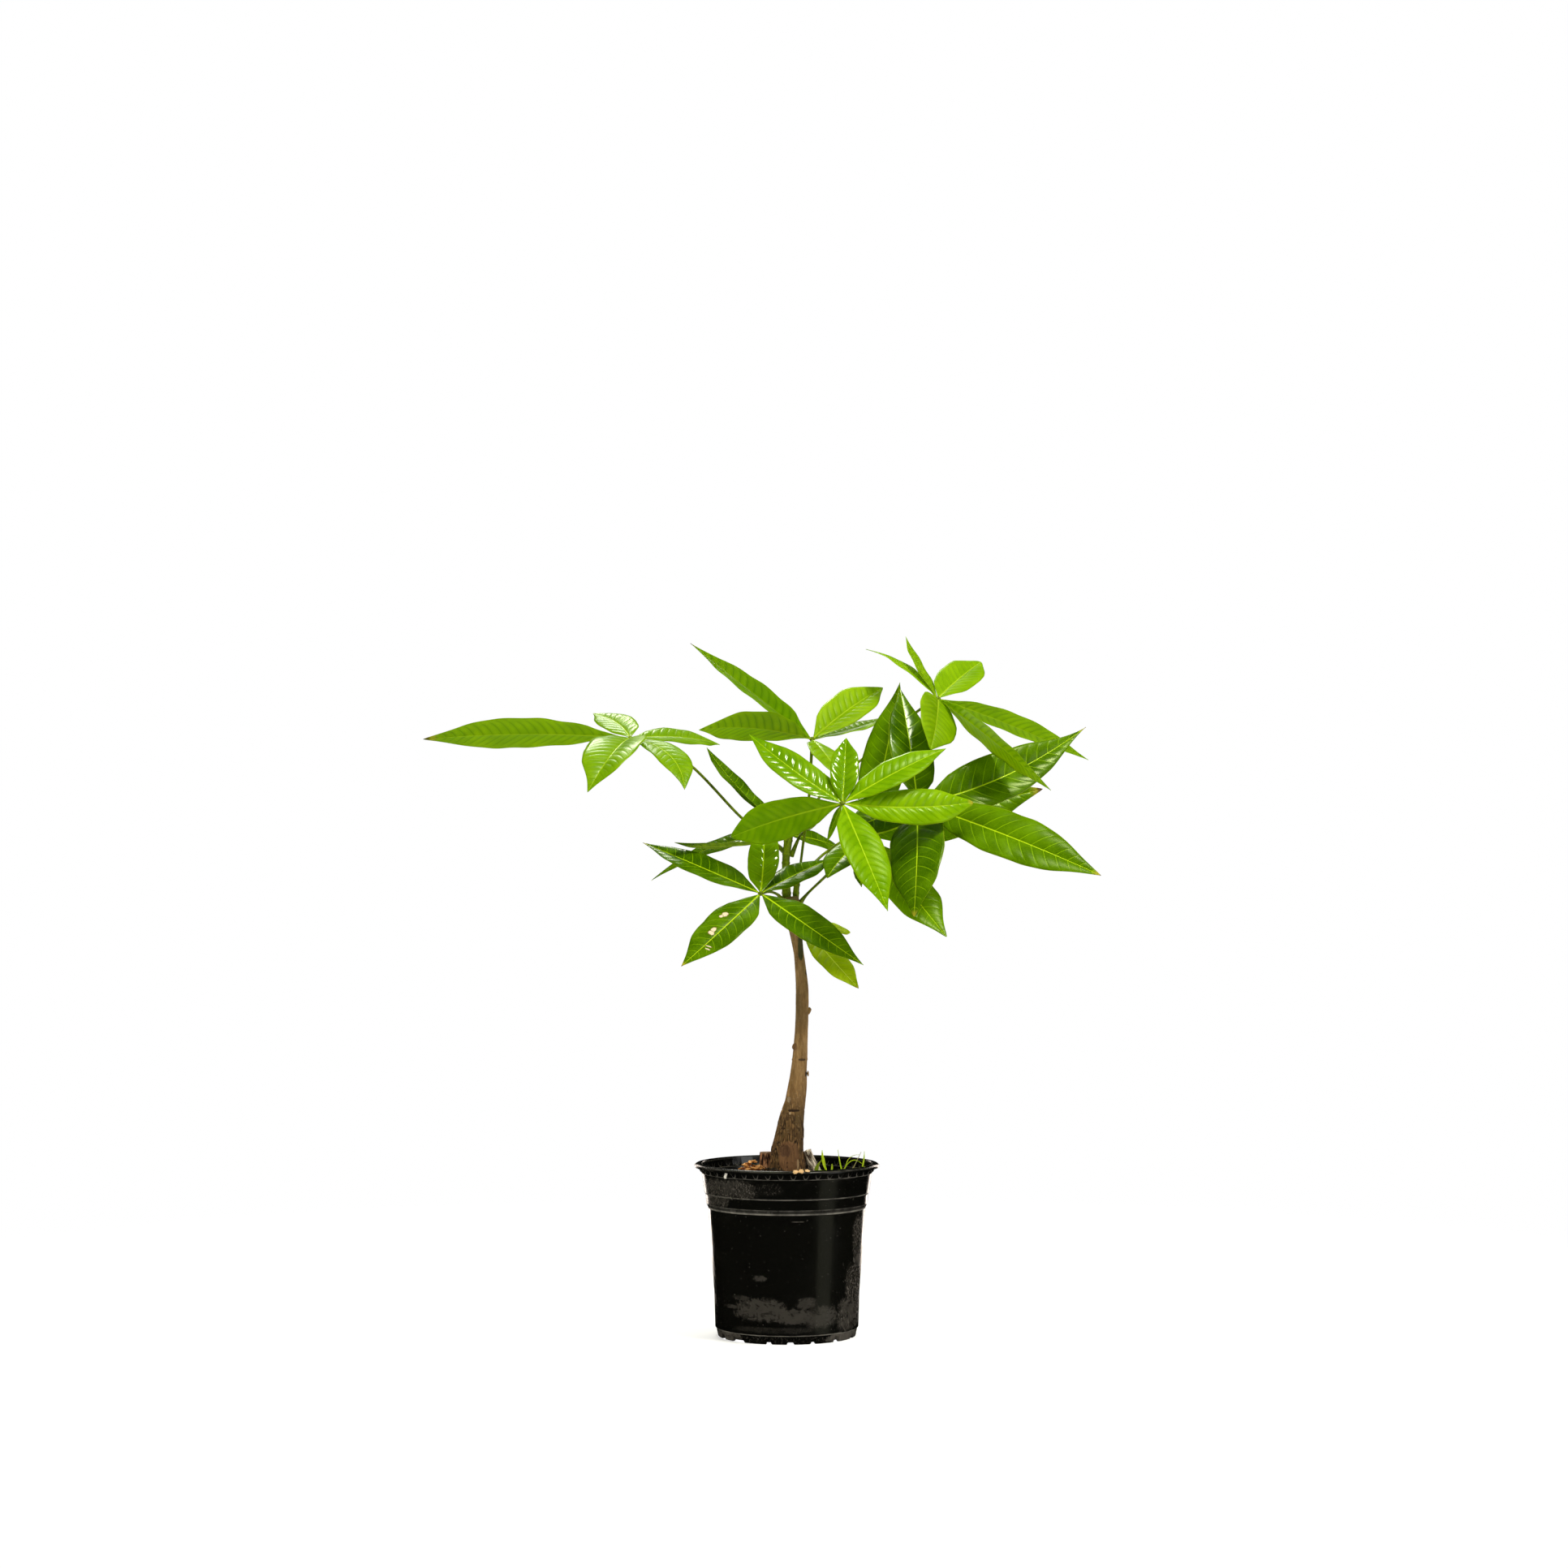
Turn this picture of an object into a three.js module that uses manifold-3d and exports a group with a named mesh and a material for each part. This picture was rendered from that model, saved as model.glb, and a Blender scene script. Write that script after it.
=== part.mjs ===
// Potted money tree: a young palmate-leaved tree in a black nursery pot.
// Millimetres, +Z up. The origin is the middle of the pot's foot; -Y is the front.
import * as THREE from "three";
import { mergeVertices, mergeGeometries } from "three/addons/utils/BufferGeometryUtils.js";
import Module from "manifold-3d";

const wasm = await Module();
wasm.setup();

// Driving dimensions
const FIT = 0.3; // gap left between pieces that touch

const POT_SIDES = 40;
const WALL = 2; // pot wall
const FOOT_RADIUS = 77.5;
const SKIRT_HEIGHT = 9.2; // foot ring below the seam
const SEAM_RADIUS = 79.4;
const BODY_FOOT_RADIUS = 80.6;
const STEP_FOOT = [88.6, 143.5]; // radius, height under the worn bevel
const STEP_TOP = [90.9, 148.5];
const RING_FOOT = [91.7, 159.2]; // the thin ring above it
const RING_TOP = [92.9, 160.6];
const LEDGE = [96, 182.4]; // where the scalloped band starts
const RIM_RADIUS = 104.8;
const RIM_UNDER = 188.8;
const RIM_TOP = 193;
const RIM_BORE = 96.6;
const NOTCH_TALL = 3;
const NOTCHES = [-44, -15, 3, 22, 45, 68, 92, 114, 137, 160, 183, 205, 228, 251, 273, 295]; // degrees from the front
const NOTCH_WIDE = [17, 6, 7, 5, 8, 6, 14, 6, 7, 5, 8, 17, 6, 7, 5, 8]; // width of each notch
const FLOOR = [4.5, 7]; // underside and top of the pot's floor
const PAD_RADIUS = 15; // middle pad that also reaches the ground
const DRAIN_RADIUS = 5;
const DRAIN_RING = 56;
const DRAINS = 8;

const SOIL_EDGE = 170; // soil height at the wall
const SOIL_MOUND = 184; // soil height at the trunk
const TRUNK_FOOT = [1, 0]; // x, y of the trunk where it enters the soil
const TRUNK_FOOT_RADIUS = 20.4;
const TRUNK_DEPTH = 120; // the buried end of the trunk
const TRUNK_HOLE_RADIUS = 21;

const BLADE = 0.7; // leaflet thickness
const BLADE_ROWS = 8;
const NECK = 0.22; // share of a leaflet over which its base narrows to the hub
const HUB_RADIUS = 3.4;
const HUB_START = 1.8; // how far from the hub's middle a leaflet starts

// Shared shapes

function solidOf(geometry) {
  const bare = geometry.index ? geometry.toNonIndexed() : geometry.clone();
  const only = new THREE.BufferGeometry().setAttribute("position", bare.getAttribute("position"));
  const merged = mergeVertices(only, 1e-4);
  return new wasm.Manifold(
    new wasm.Mesh({
      numProp: 3,
      vertProperties: new Float32Array(merged.attributes.position.array),
      triVerts: new Uint32Array(merged.index.array),
    }),
  );
}

function geometryOf(solid) {
  const mesh = solid.getMesh();
  const geometry = new THREE.BufferGeometry();
  geometry.setAttribute("position", new THREE.BufferAttribute(mesh.vertProperties, 3));
  geometry.setIndex(new THREE.BufferAttribute(mesh.triVerts, 1));
  geometry.computeVertexNormals();
  return geometry;
}

function gridFaces(index, rows, cols, start, flip) {
  for (let i = 0; i < rows; i++) {
    for (let j = 0; j < cols; j++) {
      const a = start + i * (cols + 1) + j;
      const b = a + 1;
      const c = a + cols + 1;
      const d = c + 1;
      if (flip) index.push(a, d, b, a, c, d);
      else index.push(a, b, d, a, d, c);
    }
  }
}

// A tapering round limb through points, closed with a cone at each end. grow makes it that much fatter and longer.
function limb(points, radii, sides, rings, grow = 0) {
  const path = points.map((p) => new THREE.Vector3(...p));
  if (grow > 0) {
    const last = path.length - 1;
    const back = path[0].clone().sub(path[1]).setLength(grow);
    const on = path[last].clone().sub(path[last - 1]).setLength(grow);
    path[0].add(back);
    path[last].add(on);
  }
  const curve = new THREE.CatmullRomCurve3(path, false, "centripetal");
  const frames = curve.computeFrenetFrames(rings, false);
  const position = [];
  for (let i = 0; i <= rings; i++) {
    const u = i / rings;
    const along = curve.getUtoTmapping(u) * (radii.length - 1);
    const k = Math.min(Math.floor(along), radii.length - 2);
    const radius = radii[k] + (radii[k + 1] - radii[k]) * (along - k) + grow;
    const middle = curve.getPointAt(u);
    for (let j = 0; j < sides; j++) {
      const angle = (2 * Math.PI * j) / sides;
      const p = middle
        .clone()
        .addScaledVector(frames.normals[i], radius * Math.cos(angle))
        .addScaledVector(frames.binormals[i], radius * Math.sin(angle));
      position.push(p.x, p.y, p.z);
    }
  }
  const index = [];
  for (let i = 0; i < rings; i++) {
    for (let j = 0; j < sides; j++) {
      const a = i * sides + j;
      const b = i * sides + ((j + 1) % sides);
      index.push(a, b, b + sides, a, b + sides, a + sides);
    }
  }
  for (let j = 1; j < sides - 1; j++) {
    index.push(0, j + 1, j);
    const top = rings * sides;
    index.push(top, top + j, top + j + 1);
  }
  const geometry = new THREE.BufferGeometry();
  geometry.setAttribute("position", new THREE.Float32BufferAttribute(position, 3));
  geometry.setIndex(index);
  return outward(geometry);
}

function outward(geometry) {
  const solid = solidOf(geometry);
  if (solid.volume() > 0) return solid;
  const index = geometry.index.array;
  for (let i = 0; i < index.length; i += 3) {
    const swap = index[i + 1];
    index[i + 1] = index[i + 2];
    index[i + 2] = swap;
  }
  return solidOf(geometry);
}

// One leaflet from its hub to its tip. The midrib is the straight chord plus a bow at its middle,
// the blade is widest at the share "widest" of its length, lean turns it about the chord from
// facing up, and fold lifts both halves from the midrib (below zero they droop).
function blade(hub, leaflet) {
  const { tip, bow, wide, lean, fold } = leaflet;
  const widest = leaflet.widest ?? 0.5;
  const slim = leaflet.slim ?? 1.7;
  const rows = leaflet.rows ?? BLADE_ROWS;
  const columns = 2;
  const thick = leaflet.thick ?? BLADE;
  const from = new THREE.Vector3(...hub);
  const chord = new THREE.Vector3(...tip).sub(from);
  const start = (leaflet.start ?? HUB_START) / chord.length();
  const sag = new THREE.Vector3(...bow);
  const run = chord.clone().normalize();
  const level = run.clone().cross(new THREE.Vector3(0, 0, 1)).normalize();
  const side0 = level.applyAxisAngle(run, -THREE.MathUtils.degToRad(lean));
  const cosFold = Math.cos(THREE.MathUtils.degToRad(fold));
  const sinFold = Math.sin(THREE.MathUtils.degToRad(fold));
  const faces = [[], []];
  for (let i = 0; i <= rows; i++) {
    const t = start + ((1 - start) * i) / rows;
    const tangent = chord.clone().addScaledVector(sag, 4 - 8 * t).normalize();
    const side = side0.clone().addScaledVector(tangent, -side0.dot(tangent)).normalize();
    const normal = side.clone().cross(tangent);
    const middle = from.clone().addScaledVector(chord, t).addScaledVector(sag, 4 * t * (1 - t));
    const up = Math.pow(t / widest, widest * slim);
    const down = Math.pow(Math.max(1 - t, 0) / (1 - widest), (1 - widest) * slim);
    const neck = Math.min(1, Math.sqrt(t / (leaflet.neck ?? NECK)));
    const half = Math.max((wide / 2) * up * down * neck, t < 0.5 ? 0.9 : 0.6);
    for (let j = 0; j <= columns; j++) {
      const v = (2 * j) / columns - 1;
      const p = middle
        .clone()
        .addScaledVector(side, v * half * cosFold)
        .addScaledVector(normal, Math.abs(v) * half * sinFold);
      const q = p.clone().addScaledVector(normal, -thick / 2);
      p.addScaledVector(normal, thick / 2);
      faces[0].push(p.x, p.y, p.z);
      faces[1].push(q.x, q.y, q.z);
    }
  }
  const index = [];
  const n = (rows + 1) * (columns + 1);
  gridFaces(index, rows, columns, 0, false);
  gridFaces(index, rows, columns, n, true);
  const rim = [];
  for (let j = 0; j < columns; j++) rim.push(j);
  for (let i = 0; i < rows; i++) rim.push(i * (columns + 1) + columns);
  for (let j = columns; j > 0; j--) rim.push(rows * (columns + 1) + j);
  for (let i = rows; i > 0; i--) rim.push(i * (columns + 1));
  for (let k = 0; k < rim.length; k++) {
    const a = rim[k];
    const b = rim[(k + 1) % rim.length];
    index.push(b, a, a + n, b, a + n, b + n);
  }
  const geometry = new THREE.BufferGeometry();
  geometry.setAttribute("position", new THREE.Float32BufferAttribute([...faces[0], ...faces[1]], 3));
  geometry.setIndex(index);
  return outward(geometry);
}

function ball(centre, radius, detail = 1) {
  return solidOf(new THREE.IcosahedronGeometry(radius, detail).translate(...centre));
}

function lumpOf(centre, size, turn, sides = 7) {
  const shape = new THREE.SphereGeometry(1, sides, 4).scale(...size);
  shape.rotateX(turn[0]).rotateY(turn[1]).rotateZ(turn[2]).translate(...centre);
  return solidOf(shape);
}

function biggest(solid) {
  return solid.decompose().sort((a, b) => b.volume() - a.volume())[0];
}

function together(solids) {
  return solids.reduce((sum, next) => sum.add(next));
}

// Pot: a lathe wall on a notched foot ring, with a floor and drain holes

const potProfile = [
  [0, 0],
  [PAD_RADIUS, 0],
  [PAD_RADIUS + 1, FLOOR[0]],
  [FOOT_RADIUS - WALL - 2, FLOOR[0]],
  [FOOT_RADIUS - WALL - 1.6, 0],
  [FOOT_RADIUS, 0],
  [SEAM_RADIUS, SKIRT_HEIGHT],
  [BODY_FOOT_RADIUS, SKIRT_HEIGHT + 0.9],
  [81.8, 48],
  [85.1, 92],
  STEP_FOOT,
  STEP_TOP,
  RING_FOOT,
  RING_TOP,
  LEDGE,
  [100.6, RIM_UNDER],
  [RIM_RADIUS - 0.6, RIM_UNDER],
  [RIM_RADIUS, RIM_UNDER + 1.6],
  [RIM_RADIUS - 3, RIM_TOP],
  [RIM_BORE, RIM_TOP],
  [LEDGE[0] - 1, LEDGE[1] + 1],
  [LEDGE[0] - 2.4, LEDGE[1]],
  [STEP_TOP[0] - WALL, STEP_TOP[1]],
  [STEP_FOOT[0] - WALL - 0.3, STEP_FOOT[1] - 1],
  [85.1 - WALL, 92],
  [81.8 - WALL, 48],
  [BODY_FOOT_RADIUS - WALL, SKIRT_HEIGHT + 0.9],
  [FOOT_RADIUS - WALL, FLOOR[1]],
  [0, FLOOR[1]],
];

function lathe(profile, sides) {
  const points = profile.map(([r, z]) => new THREE.Vector2(r, z));
  const geometry = new THREE.LatheGeometry(points, sides);
  geometry.rotateX(Math.PI / 2);
  return outward(mergedOf(geometry));
}

function mergedOf(geometry) {
  const only = new THREE.BufferGeometry().setAttribute("position", geometry.getAttribute("position"));
  only.setIndex(geometry.index);
  return mergeVertices(only, 1e-4);
}

let pot = lathe(potProfile, POT_SIDES);
NOTCHES.forEach((degrees, i) => {
  const cut = new THREE.BoxGeometry(NOTCH_WIDE[i], 12, 2 * NOTCH_TALL);
  cut.translate(0, -FOOT_RADIUS, 0).rotateZ(THREE.MathUtils.degToRad(degrees));
  pot = pot.subtract(solidOf(cut));
});
for (let i = 0; i < DRAINS; i++) {
  const hole = new THREE.CylinderGeometry(DRAIN_RADIUS, DRAIN_RADIUS, 12, 10).rotateX(Math.PI / 2);
  hole.translate(DRAIN_RING, 0, FLOOR[1]).rotateZ((2 * Math.PI * (i + 0.5)) / DRAINS);
  pot = pot.subtract(solidOf(hole));
}

// Trunk: x, y, height and radius of the woody stem, from the buried end up to the fork

const TRUNK = [
  [TRUNK_FOOT[0], 0, TRUNK_DEPTH, TRUNK_FOOT_RADIUS],
  [TRUNK_FOOT[0], 0, 160, TRUNK_FOOT_RADIUS],
  [TRUNK_FOOT[0], 0, 184, TRUNK_FOOT_RADIUS],
  [1, 0, 205, 18.3],
  [2.7, 0, 219, 16.9],
  [6, 0, 242, 14.4],
  [9.4, 0, 260, 11.5],
  [12, 0, 279, 10.4],
  [13.6, 0, 298, 9.1],
  [15, 0, 316, 8.6],
  [17, 0, 353, 7.3],
  [17.3, 0, 388, 6.9],
  [15, 0, 416, 6.5],
  [12.8, 0, 434, 6.2],
  [9, 0, 460, 7.6],
  [5, 0, 484, 9.6],
  [3.8, 0, 493, 9.4],
];
const trunkLine = TRUNK.map(([x, y, z]) => [x, y, z]);
const trunkRadii = TRUNK.map((row) => row[3]);
const TRUNK_SIDES = 12;
const TRUNK_RINGS = 24;

const budKnot = lumpOf([25, -1, 364], [3, 3, 4.5], [0, 0.3, 0]);
const budStub = lumpOf([-0.6, -2, 461], [4, 2.6, 2.6], [0, 0.5, 0]);
const scarLeft = lumpOf([8.6, -3, 324], [3, 3, 3.6], [0, 0, 0]);
const trunk = together([
  limb(trunkLine, trunkRadii, TRUNK_SIDES, TRUNK_RINGS),
  budKnot,
  budStub,
  scarLeft,
]);

// Green shoots above the fork

const MAIN_SHOOT = {
  line: [[-0.6, 0, 492], [-1, 0, 508], [-1.2, 0, 533], [0.4, 0, 548], [3, 0, 565], [8, 1, 578]],
  radii: [5, 4.9, 4.3, 4.6, 4.6, 3.4],
};
const SIDE_SHOOT = {
  line: [[10.2, 0, 492], [10.8, 0, 504], [13, 0, 518]],
  radii: [3.4, 3.4, 3.2],
};

// Leaves. Each leaflet gives its tip, the bow of its midrib, its width, lean and fold.

const LEAVES = {
  leaf_far_left: {
    hub: [-178, 10, 673],
    petiole: [[-2, 3, 543], [-22, 16, 561], [-53, 15, 584], [-107, 9, 640], [-150, 10, 666]],
    leaflets: [
      { tip: [-406, -51, 669], bow: [0, 0, 5], wide: 56, lean: -35, fold: 4, widest: 0.57, slim: 1.9 },
      { tip: [-226, 106, 706], bow: [5, 6, 4], wide: 50, lean: 14, fold: 2, widest: 0.48, slim: 1.3 },
      { tip: [-218, -119, 608], bow: [4, -24, 10], wide: 64, lean: 2, fold: 14, widest: 0.4, slim: 1.3, neck: 0.1 },
      { tip: [-113, -84, 612], bow: [14, -8, 9], wide: 40, lean: -8, fold: 4, widest: 0.5, slim: 1.7 },
      { tip: [-78, 95, 669], bow: [5, 4, 5], wide: 46, lean: -26, fold: 4, widest: 0.55 },
    ],
  },
  leaf_top: {
    hub: [29, 40, 673],
    petiole: [[12.6, 4, 513], [15, 3.5, 526], [19, 3, 557], [22, 6, 576], [25, 16, 604], [27, 28, 632]],
    leaflets: [
      { tip: [-108, -41, 777], bow: [-1, 0, 1], wide: 52, lean: -4, fold: 10, widest: 0.45, slim: 1.9 },
      { tip: [-98, -57, 679], bow: [-2, -6, 7], wide: 56, lean: -34, fold: 6, widest: 0.54, slim: 1.8 },
      { tip: [113, 138, 738], bow: [0, 6, 4], wide: 48, lean: -34, fold: 14, widest: 0.52, slim: 1.5 },
      { tip: [121, 160, 705], bow: [2, 6, -1], wide: 44, lean: -4, fold: 4, widest: 0.52 },
      { tip: [64, -39, 623], bow: [-1, -10, 3], wide: 40, lean: 8, fold: 4 },
    ],
  },
  leaf_top_right: {
    hub: [174, 60, 721],
    petiole: [[5, 3, 539], [14, 12, 560], [22, 22, 571], [35, 36, 603], [62, 64, 633], [90, 100, 654], [127, 120, 686]],
    arrive: [152, 104, 708],
    leaflets: [
      { tip: [93, 133, 783], bow: [2, 4, 9], wide: 38, lean: -6, fold: 4, slim: 1.7 },
      { tip: [140, 133, 798], bow: [-4, 4, 0], wide: 36, lean: -32, fold: 10, widest: 0.45, slim: 1.7 },
      { tip: [229, 146, 769], bow: [0, 6, 2], wide: 48, lean: -26, fold: 10, widest: 0.52, slim: 1.2 },
      { tip: [161, -40, 658], bow: [2, -14, 3], wide: 56, lean: 46, fold: 6, widest: 0.46, slim: 1.2, neck: 0.1 },
      { tip: [295, -47, 612], bow: [-3, -11, 5], wide: 50, lean: 44, fold: -4, slim: 1.7 },
      { tip: [353, 117, 652], bow: [0, 4, 4], wide: 46, lean: 26, fold: 10, widest: 0.48, slim: 1.9 },
    ],
  },
  leaf_front: {
    hub: [61, -110, 596],
    petiole: [[8, 0, 574], [10, -5, 573], [19, -25, 574], [38, -65, 582], [52, -95, 592]],
    leaflets: [
      { tip: [-42, -56, 674], bow: [-1, -6, -3], wide: 44, lean: 34, fold: 8, widest: 0.48 },
      { tip: [66, -60, 670], bow: [0, -4, -1], wide: 34, lean: -6, fold: 20, slim: 1.5 },
      { tip: [177, -63, 658], bow: [0, -6, 3], wide: 38, lean: -42, fold: 6 },
      { tip: [207, -67, 598], bow: [1, -8, -5], wide: 44, lean: -66, fold: 2, widest: 0.58, slim: 1.4 },
      { tip: [108, -191, 479], bow: [0, -8, 1], wide: 50, lean: -8, fold: 8, widest: 0.46 },
      { tip: [-62, -48, 560], bow: [-3, -10, 2], wide: 46, lean: 104, fold: 10, widest: 0.58, slim: 1.4 },
      { tip: [41, -86, 630], bow: [0, 0, 1], wide: 10, lean: 14, fold: 4, rows: 4 },
      { tip: [44, -79, 553], bow: [0, 0, 1], wide: 14, lean: 94, fold: 4, rows: 4 },
      { tip: [70, -104, 611], bow: [0, 0, 0], wide: 5, lean: 0, fold: 0, rows: 3 },
    ],
  },
  leaf_right: {
    hub: [147, -15, 598],
    petiole: [[16.5, 0, 514], [24, 6, 524], [34, 15, 534], [47, 21, 545], [83, 18, 569], [114, 2, 587]],
    leaflets: [
      { tip: [131, 78, 733], bow: [2, 6, -1], wide: 56, lean: -16, fold: 4, widest: 0.45, slim: 1.5 },
      { tip: [345, 65, 688], bow: [0, -10, -14], wide: 62, lean: -60, fold: 12, widest: 0.42, slim: 1.7 },
      { tip: [346, -92, 517], bow: [0, -8, 3], wide: 64, lean: -50, fold: 4, slim: 1.5 },
      { tip: [138, -143, 472], bow: [1, -16, 4], wide: 66, lean: -22, fold: 2, widest: 0.42, slim: 1.4 },
      { tip: [65, -77, 564], bow: [3, -4, 3], wide: 48, lean: 36, fold: 2, slim: 1.5 },
    ],
  },
  leaf_back_right: {
    hub: [93, 34, 561],
    petiole: [[15, 2, 486], [24, 5, 497], [44, 16, 516], [72, 28, 543]],
    leaflets: [
      { tip: [45, -46, 514], bow: [-4, -6, 2], wide: 38, lean: 12, fold: 6, slim: 1.4 },
      { tip: [84, -21, 504], bow: [-3, -4, 0], wide: 26, lean: -40, fold: 2, rows: 5 },
      { tip: [177, -72, 449], bow: [-3, -8, 2], wide: 56, lean: -22, fold: 2, widest: 0.55, slim: 1.5 },
      { tip: [296, 77, 617], bow: [-6, 4, 0], wide: 64, lean: -80, fold: 14, widest: 0.48, slim: 1.5 },
      { tip: [132, 104, 742], bow: [1, 8, -1], wide: 58, lean: -4, fold: 2, widest: 0.47, slim: 1.9 },
    ],
  },
  leaf_low_left: {
    hub: [-29, -75, 497],
    petiole: [[-6, -4, 490], [-11, -30, 496], [-20, -56, 499]],
    leaflets: [
      { tip: [-163, 2, 554], bow: [-1, -4, 1], wide: 44, lean: 24, fold: 8, widest: 0.45, slim: 1.7 },
      { tip: [-25, 4, 579], bow: [1, -2, -3], wide: 42, lean: 38, fold: 4, slim: 1.4 },
      { tip: [49, 5, 535], bow: [0, -4, 2], wide: 38, lean: -20, fold: 4, widest: 0.48, slim: 1.5 },
      { tip: [83, -149, 420], bow: [-1, -10, 1], wide: 46, lean: -30, fold: 6, widest: 0.43, slim: 1.7 },
      { tip: [-114, -156, 419], bow: [0, -10, -1], wide: 50, lean: 24, fold: 6, widest: 0.44, slim: 1.6 },
    ],
  },
  leaf_back_left: {
    hub: [2, 46, 563],
    petiole: [[1.5, 6, 557], [2, 24, 563]],
    leaflets: [
      { tip: [-159, 132, 511], bow: [-1, 8, 15], wide: 46, lean: 28, fold: 2, widest: 0.55, slim: 1.6 },
      { tip: [-126, -31, 554], bow: [-4, 0, -8], wide: 38, lean: -10, fold: 2, widest: 0.55, slim: 1.7 },
      { tip: [67, 127, 546], bow: [3, 8, 3], wide: 36, lean: -38, fold: 2, slim: 1.5 },
      { tip: [-94, 130, 667], bow: [-10, 8, 3], wide: 52, lean: -12, fold: 6, slim: 1.7 },
      { tip: [50, 136, 604], bow: [3, 8, -1], wide: 34, lean: 68, fold: 2, slim: 1.5 },
    ],
  },
  leaf_low_right: {
    hub: [21, 30, 457],
    petiole: [[9, 10, 478], [15, 20, 472]],
    leaflets: [
      { tip: [80, -43, 391], bow: [-1, -8, 0], wide: 36, lean: -16, fold: 2, widest: 0.52, slim: 1.5 },
      { tip: [73, 90, 452], bow: [2, 6, 2], wide: 26, lean: -32, fold: 2, widest: 0.7, slim: 1.4, rows: 5 },
      { tip: [33, 102, 442], bow: [2, 6, 4], wide: 26, lean: -40, fold: 2, widest: 0.55, slim: 1.5, rows: 5 },
    ],
  },
};

const stemSpace = together([
  limb(trunkLine, trunkRadii, TRUNK_SIDES, TRUNK_RINGS, FIT + 0.1),
  limb(MAIN_SHOOT.line, MAIN_SHOOT.radii, 8, 7, FIT + 0.1),
  limb(SIDE_SHOOT.line, SIDE_SHOOT.radii, 8, 3, FIT + 0.1),
]);

function leafOf({ hub, petiole, arrive, leaflets }) {
  const line = [...petiole, ...(arrive ? [arrive] : []), hub];
  const radii = line.map((p, i) => (i === 0 ? 3 : i === line.length - 1 ? 2.2 : 1.8));
  const rings = Math.round(1.5 * line.length);
  const pieces = [limb(line, radii, 6, rings), ball(hub, HUB_RADIUS, 0)];
  leaflets.forEach((leaflet) => pieces.push(blade(hub, leaflet)));
  return biggest(together(pieces).subtract(stemSpace));
}

// Soil: a shallow mound with plain holes where the stems stand

const soilProfile = [
  [0, FLOOR[1] + FIT],
  [FOOT_RADIUS - WALL - 0.6, FLOOR[1] + FIT],
  [BODY_FOOT_RADIUS - WALL - FIT - 0.1, SKIRT_HEIGHT + 1],
  [81.8 - WALL - FIT - 0.1, 48],
  [85.1 - WALL - FIT - 0.1, 92],
  [STEP_FOOT[0] - WALL - 0.7, STEP_FOOT[1] - 0.5],
  [STEP_TOP[0] - WALL - 0.5, STEP_TOP[1]],
  [90.4, SOIL_EDGE],
  [78, SOIL_EDGE + 1],
  [58, SOIL_EDGE + 4],
  [38, SOIL_EDGE + 9.5],
  [24, SOIL_MOUND],
  [0, SOIL_MOUND + 1],
];
const soilBody = lathe(soilProfile, POT_SIDES);

const STUMP = { line: [[-21.5, 11, 166], [-21.5, 11, 185], [-21.5, 11, 204]], radii: [9.6, 9.4, 9] };
const ROOT = { line: [[38, 4, 172], [33, 4, 182], [27.5, 3, 194], [23, 2, 206]], radii: [5.4, 5.8, 5.2, 4] };

const trunkSpace = limb(trunkLine, trunkRadii, TRUNK_SIDES, TRUNK_RINGS, FIT);
const stumpSpace = limb(STUMP.line, STUMP.radii, 12, 2, FIT);
const rootSpace = limb(ROOT.line, ROOT.radii, 8, 5, FIT);
const trunkHole = new THREE.CylinderGeometry(TRUNK_HOLE_RADIUS, TRUNK_HOLE_RADIUS, 80, 20).rotateX(Math.PI / 2);
trunkHole.translate(...TRUNK_FOOT, TRUNK_DEPTH - FIT + 40);
const soil = soilBody.subtract(solidOf(trunkHole)).subtract(stumpSpace).subtract(rootSpace);
const soilTop = soilBody.translate([0, 0, FIT]);

function resting(solid) {
  return biggest(solid.subtract(together([soilTop, trunkSpace, stumpSpace, rootSpace])));
}

const stump = limb(STUMP.line, STUMP.radii, 12, 2).subtract(trunkSpace);
const root = biggest(limb(ROOT.line, ROOT.radii, 8, 5).subtract(trunkSpace));

// Litter: bark chips on the soil, each a flat lump: centre, half sizes, turn about Z

const CHIPS = [
  [[-50, 2, 180], [7, 6, 3.4], 0.3],
  [[-41, -3, 180], [8, 6, 3], -0.5],
  [[-33, 1, 182], [7, 5, 3], 0.8],
  [[-44, 9, 181], [6, 6, 3.4], 1.2],
  [[-29, -10, 181], [7, 5, 2.6], 0.1],
  [[-38, -13, 179], [7, 5, 2.4], -0.9],
];
const litter = together(
  CHIPS.map(([centre, size, turn]) => lumpOf(centre, size, [0.15, -0.12, turn])),
);

// Weeds: thin blades that stand on the soil

function grass(foot, tip, bow, wide, lean, widest = 0.5, rows = 5) {
  return blade(foot, { tip, bow, wide, lean, fold: 4, widest, slim: 1.1, rows, start: 0 });
}

const WEEDS = {
  weed_broad: [
    grass([49, 12, 175], [40, 14, 206], [-2, 0, -1], 5, 90, 0.6),
    grass([48, 12, 178], [51, 8, 191], [1, 0, 0], 6, 90, 0.6, 4),
  ],
  weed_dark: [grass([40, -12, 176], [39, -10, 197], [-6, -2, -2], 6, 60)],
  weed_yellow: [grass([46, -22, 174], [36, -26, 187], [0, 0, 3], 5, 30)],
  weed_sprout: [
    grass([66, 16, 171], [58, 18, 206], [0, 0, 0], 3.4, 90, 0.4),
    grass([64, 16, 182], [86, 12, 192], [-1, 0, 6], 3.2, 40, 0.4),
    grass([65, 16, 176], [83, 20, 200], [-3, 0, 6], 3, 40, 0.4),
  ],
  straw: [grass([68, 4, 172], [84, 2, 205], [0, 0, 0], 1.8, 60)],
  weed_rim: [grass([81, 20, 170], [88, 22, 204], [2, 0, 2], 4, 90)],
};

// Flakes stuck on the rim: centre, half sizes, turn about Z

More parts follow.
